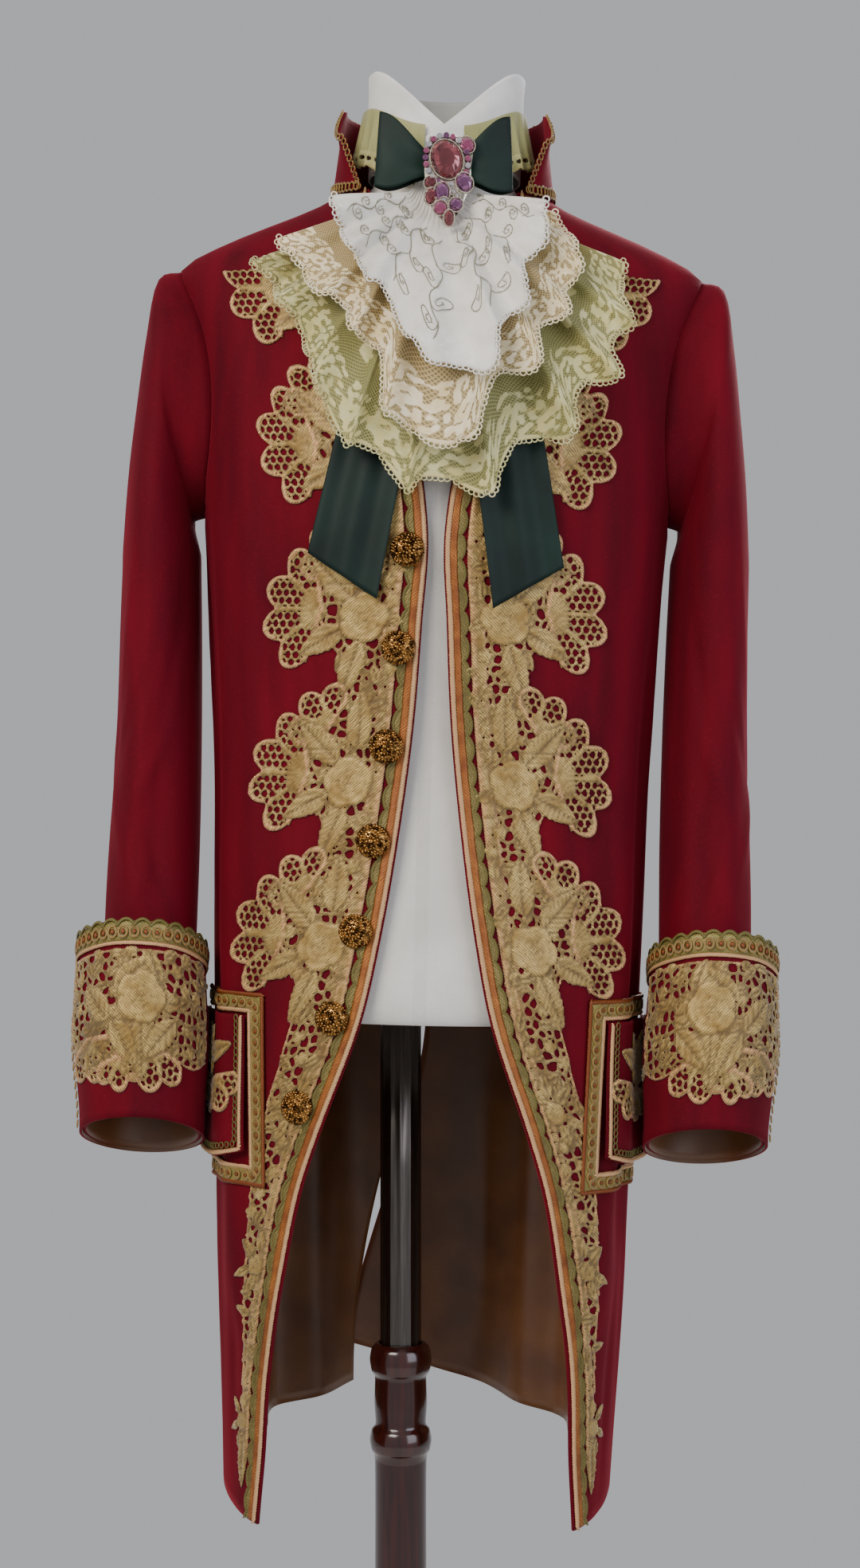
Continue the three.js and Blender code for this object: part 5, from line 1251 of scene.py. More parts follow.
button_beads = {}
for k, (along, z) in enumerate(BUTTON_ROWS):
    point, across, up, off = frame_at(*(p[0] for p in front_path(-1, [along], [z], BUTTON_LIFT)))
    turn = turns_of(40)
    rings = [point + BUTTON_RADIUS * r * (np.cos(turn)[:, None] * across + np.sin(turn)[:, None] * up)
             + BUTTON_TALL * 0.86 * h * off for r, h in DOME_PROFILE]
    points, faces = ring_of_rings(rings)
    faces += [tuple(range(39, -1, -1)), tuple(range(240, 280))]
    dome = mesh_object(f"button_dome_{k + 1}", stand_on_pole(points), faces, [bead_metal])
    dress(dome, "bead_dome", f"button_{k + 1}")
    for row, (r, h, count, size) in enumerate(BEAD_ROWS):
        at = turns_of(count) + 0.5 * row
        way = np.cos(at)[:, None] * across + np.sin(at)[:, None] * up
        place = point + BUTTON_RADIUS * 0.93 * r * way + BUTTON_TALL * 0.86 * h * off
        out = way * (1 - h) + off * (0.25 + h)
        world = stand_on_pole(place)
        lift = stand_on_pole(place + out) - world
        side_way = stand_on_pole(place + np.cross(way, off)) - world
        lift, side_way = (v / np.linalg.norm(v, axis=1)[:, None] for v in (lift, side_way))
        button_beads.setdefault(size, []).append((world, side_way, lift))
for size, places in button_beads.items():
    set_along(f"button_beads_{round(size * 100)}", "bead", places, (size, size * 1.1, size), 0, bead_metal,
              "bead_dome", 0.1)


# Pockets: a deep velvet flap at each side, lined, standing off the hip, with lace on its upper part and a
# cord round its edge. A gimp of loops and cords frames the opening on the front panel.
POCKET_FRONT, POCKET_BACK = math.radians(54), math.radians(93)
POCKET_TOP, POCKET_BOTTOM, FRAME_WIDE = 822.0, 712.0, 14.0


def flap_point(side, u, v, lift=0.0):
    """A point of the flap: u runs to the back, v down from the sewn edge."""
    angle = POCKET_FRONT + (POCKET_BACK - POCKET_FRONT) * u
    low = POCKET_BOTTOM + 8 * np.abs(2 * u - 1) ** 2
    z = POCKET_TOP + (low - POCKET_TOP) * v
    bow = 0.7 * np.sin(5 * math.pi * u + side) * v ** 2
    off = 3 + CLOTH + 6.5 * smooth(v, 0, 1) * (0.55 + 0.45 * u) + bow + lift
    return body_point(side, angle, z, off)


def flap_path(side, u, v, lift):
    """Points of a flap along a line, with the same points one mm further off the cloth."""
    u, v = np.broadcast_arrays(u, v)
    return flap_point(side, u, v, lift), flap_point(side, u, v, lift + 1)


def frame_path(inset):
    """The frame's line round the pocket, this many mm outside the opening."""
    inner = POCKET_FRONT - math.radians(1)
    near = inner - inset * 1.25 / half_width(POCKET_TOP)
    high, low = POCKET_TOP + 3 + inset, POCKET_BOTTOM - 4 - inset
    forward = np.linspace(POCKET_BACK, near, 90)
    angle = np.concatenate([forward, np.full(88, near), np.linspace(near, POCKET_BACK, 90)])
    z = np.concatenate([np.full(90, high), np.linspace(high, low, 90)[1:-1], np.full(90, low)])
    return angle, z


for side, hand in HANDS.items():
    u, v = np.meshgrid(np.linspace(0, 1, 34), np.linspace(0, 1, 34))
    grid = flap_point(side, u, v)
    made = shell(f"pocket_flap_{hand}_velvet", grid, CLOTH, -side, [velvet, lining, velvet])
    declare(made, *cut_size(grid), "folded", [f"front_{hand}_velvet"], "velvet", f"pocket_flap_{hand}")

    flap_wide, flap_tall = 104.0, 110.0
    grid_x, grid_y = np.meshgrid(np.arange(0, flap_wide, LACE_STEP), np.arange(0, flap_tall, LACE_STEP))
    field = blank(grid_x)
    for motif, at, turn, sizes in ((fan, (30, 62), -112, {"size": 30, "lobes": 3}),
                                   (fan, (76, 62), -68, {"size": 30, "lobes": 3}),
                                   (fan, (53, 58), -90, {"size": 27, "lobes": 3}),
                                   (leaf, (44, 76), 160, {"long": 34, "wide": 17}),
                                   (leaf, (62, 76), 20, {"long": 34, "wide": 17}),
                                   (leaf, (46, 84), 120, {"long": 20, "wide": 11}),
                                   (leaf, (60, 84), 60, {"long": 20, "wide": 11}),
                                   (rose, (53, 76), 0, {"radius": 18})):
        lay(field, grid_x, grid_y, motif, at, turn, 1, 60, **sizes)
    made, *cut = lace_sheet(f"flap_lace_{hand}", grid_x, grid_y, field,
                            lambda x, y, lift: flap_point(side, x / flap_wide, 1 - y / flap_tall, lift),
                            gold_lace)
    declare(made, *cut, "laid", [f"pocket_flap_{hand}_velvet"], "gold_lace")

    across, down = np.linspace(0.02, 0.98, 60), np.linspace(0.02, 0.975, 60)
    edge_u = np.concatenate([0 * down + 0.02, across, 0 * down + 0.98])
    edge_v = np.concatenate([down, 0 * across + 0.975, down[::-1]])
    in_u = np.concatenate([0 * down + 0.07, np.linspace(0.07, 0.93, 60), 0 * down + 0.93])
    in_v = np.minimum(edge_v, 0.93)
    for name, path, unit, size, spacing, tilt, material in (
            ("flap_cord", flap_path(side, edge_u, edge_v, 1.2), "ply", (3.2, 2.7, 2.7), 2.1, 32, cream_cord),
            ("flap_gimp", flap_path(side, in_u, in_v, 0.9), "loop", (2.6, 2.2, 1.7), 5.0, 0, olive_gimp)):
        set_along(f"{name}_{hand}", unit, [spaced(*path, spacing)], size, tilt * side, material, "braid")

    lines = [frame_path(inset) for inset in np.linspace(0, FRAME_WIDE, 6)]
    angle, z = (np.stack([line[k] for line in lines], 1) for k in range(2))
    grid = body_point(side, angle, z, 1.7)
    made = shell(f"pocket_frame_{hand}_gimp", grid, 1.0, -side, [olive_gimp, olive_gimp, olive_gimp])
    declare(made, *cut_size(grid), "laid", [f"front_{hand}_velvet"], "braid", f"pocket_frame_{hand}")
    for name, inset, lift, unit, size, spacing, tilt, material in (
            ("frame_inner_cord", 0.8, 2.4, "ply", (3.2, 2.7, 2.7), 2.1, 32, cream_cord),
            ("frame_outer_cord", 13.2, 2.4, "ply", (3.2, 2.7, 2.7), 2.1, 32, rust_braid),
            ("frame_loops", 7.0, 2.9, "loop", (4.2, 3.6, 2.6), 8.6, 0, gold_lace),
            ("frame_centres", 7.0, 2.7, "bead", (2.2, 1.7, 1.1), 8.6, 0, rust_braid)):
        angle, z = frame_path(inset)
        path = spaced(body_point(side, angle, z, lift), body_point(side, angle, z, lift + 1), spacing)
        set_along(f"{name}_{hand}", unit, [path], size, tilt, material, "braid")


# Collar edging: a picot of gold loops along the collar's top and front ends, and a gold gimp where the
# collar's front corners meet the neckline.
collar_turn = np.concatenate([np.full(30, -COLLAR_TURN), np.linspace(-COLLAR_TURN, COLLAR_TURN, 300),
                              np.full(30, COLLAR_TURN)])
collar_part = np.concatenate([np.linspace(0.04, 0.98, 30), np.full(300, 0.99), np.linspace(0.98, 0.04, 30)])
edge_low, edge_high = (collar_point(collar_turn, collar_part, lift) for lift in (0.9, 2.0))
edge_path = spaced(edge_low, edge_high, 4.6)
set_along("collar_picots", "loop", [edge_path], (2.2, 2.2, 2.0), 0, gold_lace, "gold_lace", 0.15)
seam_turn = np.linspace(-COLLAR_TURN + 0.02, COLLAR_TURN - 0.02, 300)
seam_path = spaced(collar_point(seam_turn, 0.06, 1.4), collar_point(seam_turn, 0.06, 2.4), 5.4)
set_along("collar_seam_gimp", "loop", [seam_path], (3.2, 3.4, 2.4), 0, gold_lace, "gold_lace", 0.1)


# Stock: one long band of matt white cotton, wound round the neck. Its two ends cross in front in a V, and
# its inside is grey with shade.
STOCK_END = math.radians(212)


def stock_point(u, v):
    """A point of the band: u runs along it, more than once round the neck, and v up from its low edge."""
    turn = -STOCK_END + 2 * STOCK_END * u
    radius = 58 + 3.6 * u + 1.5 * v + 0.3 * np.sin(9 * v + 3 * turn) + 0.25 * np.sin(17 * v - 2 * turn)
    top = 1551 - 64 * smooth(np.abs(turn), math.radians(112), STOCK_END)
    return np.stack([np.sin(turn) * radius, np.cos(turn) * radius, 1472 + (top - 1472) * v], -1)


stock_cloth = cloth("stock_cotton", "#dcdad6", "#f6f5f2", 30, 0.45,
                    {"Roughness": 0.8, "Sheen Weight": 0.15}, 0.08)
# The band's inside is the same white cotton, painted grey as shade.
stock_inside_shade = cloth("stock_inside_shade", "#8f8f8c", "#a9a9a5", 30, 0.45, {"Roughness": 0.9}, 0.08)
u, v = np.meshgrid(np.linspace(0, 1, 140), np.linspace(0, 1, 26))
grid = stock_point(u, v)
made = shell("stock_band", grid, 1.6, -1, [stock_cloth, stock_inside_shade, stock_cloth])
declare(made, *cut_size(grid), "folded", ["form_cover"], "stock_cotton", "stock")


# Neck frills: one gathered frill of green-gold lace on each side of the throat, tacked inside the collar.
# The lace has a net ground, a row of eyelets and a scalloped edge.
def net_lace(name, dark, light, cord_colour, ground, mesh_mm, values, clear=0.35):
    """Lace on a net ground: where the mark "hollow" is high, only the threads of the net are left."""
    made, tree, shader = start_material(name, values)
    place = add_node(tree, "ShaderNodeTexCoord")
    patches = spread_of(tree, noise(tree, place.outputs["Object"], 18, 4.0), 0.3, 0.7)
    fine = noise(tree, place.outputs["Object"], 0.8, 3.0)
    turned = add_node(tree, "ShaderNodeMapping", {"Rotation": (0, 0, math.radians(45))},
                      {"Vector": place.outputs["UV"]}).outputs["Vector"]
    net = woven(tree, turned, mesh_mm, 0.6)
    is_ground = spread_of(tree, marked(tree, "hollow"), 0.42, 0.6)
    thread = mix_colours(tree, patches, linear(dark), linear(light))
    thread = mix_colours(tree, spread_of(tree, fine, 0.4, 0.9), thread, linear(dark))
    thread = mix_colours(tree, is_ground, thread, linear(ground))
    paint(tree, shader, marked(tree, "cord"), thread, linear(cord_colour))
    open_part = maths(tree, "MULTIPLY", is_ground, spread_of(tree, net, 0.86, 0.74))
    tree.links.new(maths(tree, "MULTIPLY_ADD", open_part, clear - 1, 1.0), shader.inputs["Alpha"])
    bump(tree, shader, maths(tree, "ADD", net, fine), 0.4, 0.2)
    return made


def off_surface(surface, sign):
    """A place function from a surface of x and y: lifts go along its own normal."""
    def place(x, y, lift):
        points = surface(x, y)
        return points + outward(points, sign) * lift
    return place


green_lace = net_lace("green_gold_lace", "#8c8a4c", "#c5c389", "#a79a5c", "#a5a468", 1.5,
                      {"Roughness": 0.6, "Sheen Weight": 0.3}, 0.6)
FRILL_FROM, FRILL_TO, FRILL_WAVES = math.radians(100), math.radians(167), 6


def frill_point(side, u, v):
    """A point of a frill: u runs forward round the neck, v down from its sewn edge."""
    turn = FRILL_FROM + (FRILL_TO - FRILL_FROM) * u
    front = smooth(turn, math.radians(112), math.radians(170))
    wave = 3 * v * np.sin(2 * math.pi * FRILL_WAVES * u) + 0.8 * v * np.sin(2 * math.pi * 13 * u + 1)
    out = (65 if side < 0 else 64.4) + 7.5 * v + wave
    z = 1522 - 20 * front + (-46 - 4 * front) * v
    return np.stack([side * np.sin(turn) * out, np.cos(turn) * (out - 2 - 0.1 * (out - 65)), z], -1)


FRILL_LONG, FRILL_TALL = 92.0, 50.0
for side, hand in HANDS.items():
    grid_x, grid_y = np.meshgrid(np.arange(-1, FRILL_LONG + 2, 1.3), np.arange(-1, FRILL_TALL + 2, 1.3))
    scallop = scalloped(grid_x, 9.2, FRILL_TALL - 3.2, FRILL_TALL)
    inside = np.minimum(np.minimum(scallop - grid_y, grid_y), np.minimum(grid_x, FRILL_LONG - grid_x))
    eyelets = np.hypot((grid_x + 2.3) % 4.6 - 2.3, (grid_y - (FRILL_TALL - 8.5)) * 0.75) - 1.5
    inside = np.minimum(inside, eyelets)
    border = np.exp(-((scallop - grid_y - 1.2) / 1.2) ** 2)
    height = np.where(grid_y > FRILL_TALL - 14, 0.75, 0.15) + 0.5 * border
    place = off_surface(lambda x, y: frill_point(side, np.clip(x / FRILL_LONG, 0, 1),
                                                 np.clip(y / FRILL_TALL, 0, 1)), side)
    made, *cut = lace_sheet(f"neck_frill_{hand}_lace", grid_x, grid_y, [inside, height, border], place,
                            green_lace, relief=0.4, base=-0.6, thick=0.5)
    declare(made, *cut, "gathered", ["stock_band"], "green_gold_lace", f"neck_frill_{hand}")


# Jabot: three ruffled fans gathered at the throat and hanging over the breast. Behind lies green-gold tulle
# with a lace border, over it cream guipure, and on top white satin embroidered with grey scrolls.
GATHER_X, GATHER_Y, GATHER_Z, GATHER_START = -3.0, -81.0, 1447.0, 7.0
STEM_RISE, STEM_BACK = 33.0, 19.0


def fan_surface(waves, deep, off, spreads, reach, phase):
    """A ruffled fan: u runs from the wearer's right to the left, v from the gather down to the edge."""
    angles = np.array([row[0] for row in reach], dtype=float)
    lengths = np.array([row[1] for row in reach], dtype=float)

    def at(u, v):
        degrees = angles[0] + (angles[-1] - angles[0]) * u
        i = np.clip(np.searchsorted(angles, degrees) - 1, 0, len(angles) - 2)
        t = (degrees - angles[i]) / (angles[i + 1] - angles[i])
        length = lengths[i] + (lengths[i + 1] - lengths[i]) * t * t * (3 - 2 * t)
        r = GATHER_START + (length - GATHER_START) * v
        swing = 2 * math.pi * (waves * u + 0.13 * np.sin(2 * math.pi * 2.3 * u + phase))
        uneven = 0.78 + 0.34 * np.sin(2 * math.pi * 1.7 * u + 2 * phase)
        wave = deep * uneven * smooth(r, 12, 110) * (np.sin(swing) + 0.22 * np.sin(2 * swing + phase))
        r = r * (1 + 0.035 * np.sin(swing + 0.8) * smooth(r, 30, 120))
        x = np.sin(np.radians(degrees + 1.6 * np.cos(swing) * smooth(r, 30, 120))) * r
        drop = np.cos(np.radians(degrees)) * r
        pleat = 0.35 * smooth(r, 8, 20) * (1 - smooth(r, 40, 90)) * np.sin(2 * math.pi * 3 * waves * u)
        curl = 1.1 * smooth(v, 0.7, 1) * np.sin(2 * math.pi * (2.4 * waves * u) + phase)
        hang = 66 * smooth(drop, 0, 165) - 14 * (x / 140) ** 2
        stem = 1 - smooth(r, GATHER_START, 24)
        y = GATHER_Y - hang - off - spreads * smooth(r, 7, 85) - wave - pleat - curl + STEM_BACK * stem
        return np.stack([GATHER_X + x, y, GATHER_Z - drop + STEM_RISE * stem], -1)
    return at


def curl_line(root_x, root_y, side, size):
    """A curl of embroidery that leaves its stem downward and winds in on itself, in mm on the cloth."""
    turn = np.linspace(0, 3.2 * math.pi, 60)
    radius = size * (1 - 0.93 * turn / turn[-1])
    return np.stack([root_x + side * (size - radius * np.cos(turn)), root_y + radius * np.sin(turn)], -1)


tulle = net_lace("green_gold_tulle", "#b3ac6c", "#e0dba8", "#cfc07a", "#99965a", 1.9,
                 {"Roughness": 0.6, "Sheen Weight": 0.3}, 0.35)
guipure = net_lace("cream_guipure", "#dcc795", "#fbf1d6", "#e6cf9a", "#bda674", 2.3,
                   {"Roughness": 0.6, "Sheen Weight": 0.3}, 0.3)
grey_thread = gold_thread("grey_silk_thread", "#8d8874", "#b9b39c", "#a09a84", {"Roughness": 0.35})
satin = net_lace("white_satin", "#dfdad0", "#f6f3ec", "#9b9788", "#f3efe7", 0.4,
                 {"Roughness": 0.32, "Specular IOR Level": 0.6, "Sheen Weight": 0.2}, 1.0)
# degrees from straight down, reach in mm
TULLE_REACH = [(-68, 148), (-50, 146), (-35, 162), (-20, 205), (-2, 232), (9, 232), (22, 211), (41, 192),
               (60, 166), (70, 145)]
GUIPURE_REACH = [(-70, 126), (-36, 122), (-18, 142), (-9, 188), (-2, 205), (8, 193), (18, 164), (43, 135),
                 (66, 114), (78, 90)]
SATIN_REACH = [(-80, 80), (-52, 84), (-26, 96), (-8, 128), (2, 152), (10, 158), (22, 128), (46, 92), (80, 82)]
# name, node, waves, depth, off, spread, reach, phase, cut width and length, step, scallop, material, slot
LAYERS = [("jabot_tulle_layer", "jabot_tulle", 9, 8, 0, 0, TULLE_REACH, 0.4, 500, 200, 3.0, 17, tulle,
           "green_gold_lace"),
          ("jabot_guipure_layer", "jabot_guipure", 8, 7, 2.3, 21, GUIPURE_REACH, 1.9, 400, 170, 2.7, 20,
           guipure, "cream_lace"),
          ("jabot_satin_layer", "jabot_satin", 7, 8.5, 6.2, 38, SATIN_REACH, 3.1, 270, 130, 2.2, 15, satin,
           "white_satin")]
FAN_SHARE = 0.62  # of its rectangle that a fan's cut takes up
for name, node, waves, deep, off, spreads, reach, phase, wide, tall, step, pitch, lace, slot in LAYERS:
    grid_x, grid_y = np.meshgrid(np.linspace(-0.004, 1.004, int(wide / step)) * wide,
                                 np.linspace(-0.006, 1.006, int(tall / step)) * tall)
    rim = scalloped(grid_x, wide / round(wide / pitch), tall - 0.24 * pitch, tall)
    inside = np.minimum(np.minimum(rim - grid_y, grid_y), np.minimum(grid_x, wide - grid_x))
    border = np.exp(-((rim - grid_y - 1.6) / 1.3) ** 2)
    plain = 0.8 if node == "jabot_satin" else 0.12
    field = [inside, np.full(grid_x.shape, plain) + 0.7 * border, 0.8 * border]
    if node == "jabot_satin":
        for k in range(12):
            lay(field, grid_x, grid_y, blossom, ((k + 0.5) / 12 * wide, tall - 11), 30 * k, 1, 14, radius=6.5)
        field[2] = np.zeros(grid_x.shape)
    else:
        count = round(wide / 34)
        for k in range(count):
            at = (k + 0.5) / count * wide
            lay(field, grid_x, grid_y, fan, (at, tall - 27), 90, 1, 40, size=23, lobes=5, pitch=50)
            lay(field, grid_x, grid_y, rose, (at, tall - 28), 36 * k, 1, 26, radius=9)
            for turn in (200, 340):
                lay(field, grid_x, grid_y, leaf, (at, tall - 32), turn, 1, 30, long=20, wide=9)
            lay(field, grid_x, grid_y, leaf, (at + wide / count / 2, tall - 6), -90, 1, 40, long=34, wide=9)
            lay(field, grid_x, grid_y, rose, (at + wide / count / 2, tall - 62), 20 * k, 1, 20, radius=7)
        field[0] = inside
        field[2] = field[2] * 0.7
    surface = fan_surface(waves, deep, off, spreads, reach, phase)
    place = off_surface(lambda x, y: surface(np.clip(x / wide, 0, 1), np.clip(y / tall, 0, 1)), -1)
    made = lace_sheet(name, grid_x, grid_y, field, place, lace, relief=0.55, base=-0.7, thick=0.5)[0]
    flat, area = cut_size(surface(np.clip(grid_x / wide, 0, 1), np.clip(grid_y / tall, 0, 1)))
    flat = (area / (FAN_SHARE * flat[1]), flat[1])
    declare(made, flat, area * 0.985, "gathered", ["form_cover", "stock_band"], slot, node)
    edge_x = np.linspace(0, wide, 900)
    edge_y = scalloped(edge_x, wide / round(wide / pitch), tall - 0.24 * pitch, tall)
    edge = surface(edge_x[None] / wide, edge_y[None] / tall)[0]
    edge_path = spaced(edge, edge + (0, -1, 0.2), 4.4)
    set_along(f"{node}_picots", "loop", [edge_path], (2.1, 2.1, 1.8), 0, lace, slot, 0.12)
    if node == "jabot_satin":
        lines = []
        for vine in range(7):
            down = np.linspace(36, tall - 18, 60)
            drawn = [np.stack([3 * np.sin(down / 6 + vine), down], -1)]
            for k, root in enumerate(range(42, int(tall) - 24, 15)):
                way = (-1) ** (k + vine)
                drawn.append(curl_line(3 * math.sin(root / 6 + vine), root, way, 4.2 + root / 40))
            for line in drawn:
                # the fan narrows toward the throat, so the drawing is spread there by as much
                across = (vine + 0.5) / 7 * wide + line[:, 0] * tall / np.maximum(line[:, 1], 30)
                drawn_u, drawn_v = np.clip(across / wide, 0.01, 0.99), line[:, 1] / tall
                sewn = surface(drawn_u[None], drawn_v[None])[0] + (0, -0.35, 0)
                lines.append(spaced(sewn, sewn + (0, -1, 0.2), 2.1))
        set_along("jabot_scrolls", "ply", lines, (2.5, 0.85, 0.8), 9, grey_thread, slot)


# Bow: two stiff loops of dark green ribbon, pinched at the throat behind the brooch. Two pleated tails of
# the same ribbon come out under the jabot. The ribbon is dull, so that its folds stay dark.
ribbon = cloth("green_ribbon", "#031411", "#0a2a22", 40, 0.5,
               {"Roughness": 0.6, "Specular IOR Level": 0.3}, 0.06)
BOW_Y, BOW_NEAR, BOW_REACH, BOW_BULGE = -90.5, 5.0, 46.0, 6.5


def bow_point(side, turn, v):
    """A point of a loop: the turn runs out along its front and back behind, v up across the ribbon."""
    out = (1 - np.cos(turn)) / 2
    pinch = (1 - smooth(out, 0, 0.75)) * 1.6 * np.sin(3.2 * math.pi * v) * np.sin(turn)
    swell = 1.5 * smooth(out, 0.2, 0.9) * np.abs(np.sin(turn))
    pinch = pinch + swell * np.sin(math.pi * (2.2 * v + 0.3 * side))
    x = BOW_NEAR + BOW_REACH * out
    tall = 15 + 41 * smooth(out, 0, 0.9)
    z = 1461 + (14 if side < 0 else 12) * out + (v - 0.5) * tall
    return np.stack([side * (x - 3 * (v - 0.4) * out), BOW_Y - np.sin(turn) * BOW_BULGE - pinch, z], -1)


for side, hand in HANDS.items():
    turn, v = np.meshgrid(turns_of(64), np.linspace(0, 1, 24))
    grid = bow_point(side, turn, v)
    made = shell(f"bow_{hand}_ribbon", grid, 0.7, side, [ribbon, ribbon, ribbon], ring=True)
    declare(made, *cut_size(grid, True), "folded", ["stock_band"], "green_ribbon", f"bow_loop_{hand}")

# top and low ends: height, middle of the ribbon there; slant of the cut end
TAILS = {-1: (1300, 1152, -40, -69, 34), 1: (1300, 1146, 44, 69, 32)}
TAIL_WIDE = 52.0
for side, hand in HANDS.items():
    top_z, low_z, x_top, x_low, slant = TAILS[side]
    u, v = np.meshgrid(np.linspace(0, 1, 41), np.linspace(0, 1, 40))
    z = top_z + (low_z - top_z) * v + slant * (u - 0.5) * side * v
    x = x_top + (x_low - x_top) * v + (u - 0.5) * TAIL_WIDE
    y = -front_depth(z) * np.sqrt(1 - (x / half_width(z)) ** 2)
    tuck = 1.8 * (1 + np.cos(4 * math.pi * u)) + 0.5 * np.sin(9 * v + 4 * u) * v
    grid = np.stack([x, y - 5.4 - tuck - 1.2 * smooth(v, 0.6, 1), z], -1)
    made = shell(f"ribbon_tail_{hand}_cloth", grid, 0.7, -1, [ribbon, ribbon, ribbon])
    declare(made, *cut_size(grid), "hung", [f"front_{hand}_velvet", f"lace_{hand}_guipure"], "green_ribbon",
            f"ribbon_tail_{hand}")


# Brooch: a large oval stone in a halo of small ones over the knot, with smaller ovals and drops below it in
# silver cups, narrowing to a point on the satin. The stones are facetted, dark red, violet, pink and clear.
def stone(colour, dark, light):
    """Cut glass over foil, with painted reflections: each facet is painted lighter or darker by the way it
    faces, under a hard polish.
    """
    values = {"Roughness": 0.04, "Coat Weight": 1.0, "Coat Roughness": 0.02, "Metallic": 0.55, "IOR": 1.75}
    made, tree, shader = start_material(colour + "_stone", values)
    facet = add_node(tree, "ShaderNodeNewGeometry").outputs["True Normal"]
    # painted reflection: the way each facet faces sets how dark or light its colour is
    depth = spread_of(tree, noise(tree, facet, 420, 2.0), 0.38, 0.66)
    inner = mix_colours(tree, noise(tree, object_place(tree), 9.0, 1.0), linear(dark), linear(light))
    paint(tree, shader, depth, linear(dark), inner)
    return made


stones = {"red": stone("red", "#4a0918", "#d86a72"), "violet": stone("violet", "#4d1146", "#e29ad6"),
          "pink": stone("pink", "#8c1c55", "#f2b3cf"), "clear": stone("clear", "#a9a4ac", "#ffffff")}
# The cups and the plate are silver, cloudy with wear, so that they gleam softly.
silver, silver_tree, silver_shader = start_material("silver_cup", {"Metallic": 1, "Roughness": 0.22})
silver_cloud = noise(silver_tree, object_place(silver_tree), 2.0)
paint(silver_tree, silver_shader, silver_cloud, linear("#8d8578"), linear("#e6dfd0"))
# x and height from the middle, half width, half height, how far it stands out, turn in degrees, colour
STONES = [(0, 4, 11.5, 14.5, 1.0, -18, "red"), (15, 15.5, 5.0, 6.0, 0.0, -30, "pink"),
          (13.5, -13, 5.8, 7.2, 0.5, -25, "violet"), (-3, -21, 5.4, 7.0, 1.0, 0, "violet"),
          (-12, -13.5, 4.0, 4.6, 0, 20, "red"), (-11.5, -24, 4.0, 6.0, 0.0, 12, "red"),
          (-4, -34, 5.0, 5.0, 3.5, 0, "pink"), (7.5, -31, 4.8, 4.8, 3.0, 0, "violet"),
          (2.5, -43, 3.4, 5.8, 8.5, 0, "red"), (-1.5, -28, 2.2, 2.2, 2.6, 0, "clear"),
          (5.5, -20.5, 2.0, 2.0, 1.2, 0, "clear"), (8, -23.5, 1.8, 1.8, 1.4, 0, "clear")]
BROOCH_Z, BROOCH_Y, BROOCH_X = 1461.0, -100.0, 2.0


def stone_places(x, z, out):
    """Where a stone sits: on the bow above, and forward on the satin below."""
    y = BROOCH_Y + 0.085 * max(z, 0) - 6.5 * float(smooth(-z, 8, 46)) - out
    return np.array([BROOCH_X + x, y, BROOCH_Z + z])


def oval(centre, wide, tall, at, turn, behind):
    """Points round an oval that is turned by degrees, this far behind its centre."""
    c, s = math.cos(math.radians(turn)), math.sin(math.radians(turn))
    x, z = wide * np.sin(at), tall * np.cos(at)
    return centre + np.stack([x * c + z * s, 0 * at + behind, -x * s + z * c], -1)


# size, how far out, turn in steps
CUT_RINGS = [(0.35, -0.5, 0), (1.0, 0.0, 0), (0.98, 0.12, 0), (0.8, 0.62, 0.5), (0.5, 1.0, 0)]


def cut_stone(name, centre, wide, tall, deep, turn, sides, material):
    """A facetted oval: girdle, crown and table in front, a shallow cone behind."""
    at, half_step = turns_of(sides), math.pi / sides
    rings = [oval(centre, wide * size, tall * size, at + shift * half_step, turn, -deep * out)
             for size, out, shift in CUT_RINGS]
    points, faces = ring_of_rings(rings)
    faces = [(a, b, d) for a, b, c, d in faces] + [(b, c, d) for a, b, c, d in faces]
    faces += [tuple(range(sides)), tuple(range(5 * sides - 1, 4 * sides - 1, -1))]
    return mesh_object(name, stand_on_pole(points), [f[::-1] for f in faces], [material], smooth=False)


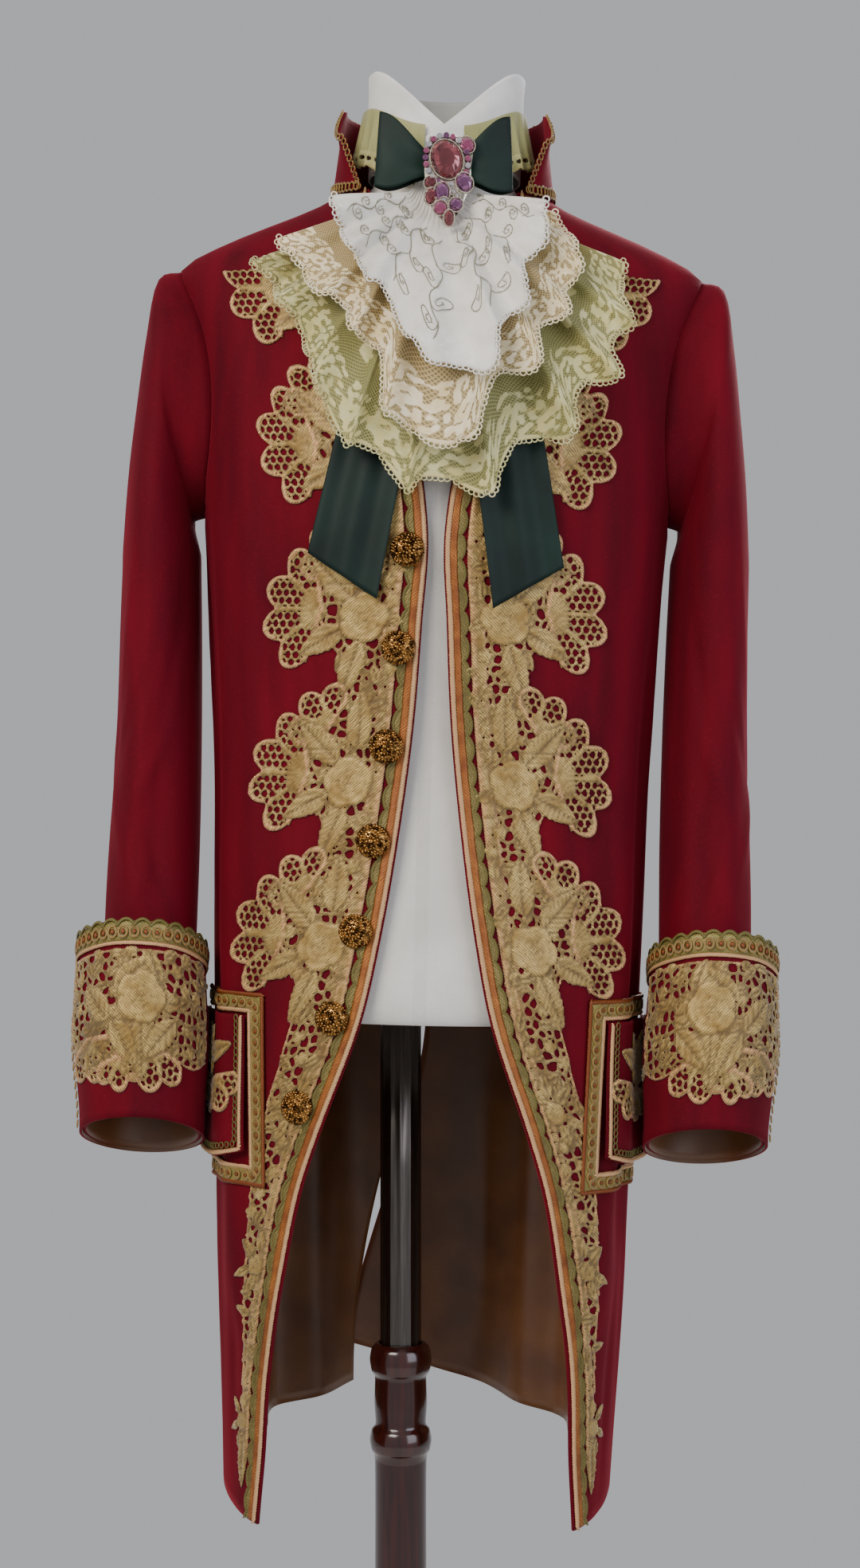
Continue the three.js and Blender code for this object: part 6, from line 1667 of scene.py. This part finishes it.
# size, how far out, of a small round stone of the halo
HALO_RINGS = [(0.5, -1.2), (1.0, 0.0), (0.85, 0.8), (0.5, 1.4)]
HALO_RADIUS = 2.5
cup_lines = []
around = np.linspace(0, 2 * math.pi, 60)
for k, (x, z, wide, tall, out, turn, colour) in enumerate(STONES):
    centre = stone_places(x, z, out + 3.4)
    sides = 16 if wide > 8 else 10
    deep = 0.42 * wide + 1
    made = cut_stone(f"stone_{k + 1}_{colour}", centre, wide, tall, deep, turn, sides, stones[colour])
    dress(made, "cut_stones", *(["brooch"] if k == 0 else []))
    line = oval(centre, wide + 0.7, tall + 0.7, around, turn, -0.3)
    cup_lines.append(spaced(line, line + (0, -1, 0), 1.15))
    if k == 0:
        ring = oval(centre, wide + 4.2, tall + 4.0, around, turn, 0.8)
        halo = spaced(ring, ring + (0, -1, 0), 5.0)[0][:-1]
set_along("brooch_cups", "bead", cup_lines, (0.75, 0.75, 0.9), 0, silver, "cut_stones", 0.08)
for k, centre in enumerate(halo * 1000):
    colour = ("pink", "violet", "pink", "clear")[k % 4] if k % 7 else "clear"
    rings = [oval(centre, HALO_RADIUS * size, HALO_RADIUS * size, math.pi / 2 - turns_of(8), 0, -out)
             for size, out in HALO_RINGS]
    points, faces = ring_of_rings(rings)
    faces += [tuple(range(7, -1, -1)), tuple(range(24, 32))]
    made = mesh_object(f"halo_stone_{k + 1}", points / 1000, faces, [stones[colour]], smooth=False)
    dress(made, "cut_stones")

# The brooch's plate: a thin silver back that carries every cup.
plate_line = [(-13, 22), (13, 22), (20, 14), (18, -2), (19, -14), (12, -30), (5, -45), (0, -45), (-8, -36),
              (-15, -26), (-16, -12), (-17, 4)]
front = np.array([stone_places(x, z, 1.6) for x, z in plate_line])
back = np.array([stone_places(x, z, 0.8) for x, z in plate_line])
count = len(plate_line)
faces = [tuple(range(count)), tuple(range(2 * count - 1, count - 1, -1))]
faces += [(i, i + count, (i + 1) % count + count, (i + 1) % count) for i in range(count)]
plate_points = stand_on_pole(np.concatenate([front, back]))
dress(mesh_object("brooch_plate", plate_points, faces, [silver], smooth=False), "cut_stones")

# The units have been set by now, so they leave the scene.
for unit in units.values():
    bpy.data.objects.remove(unit)
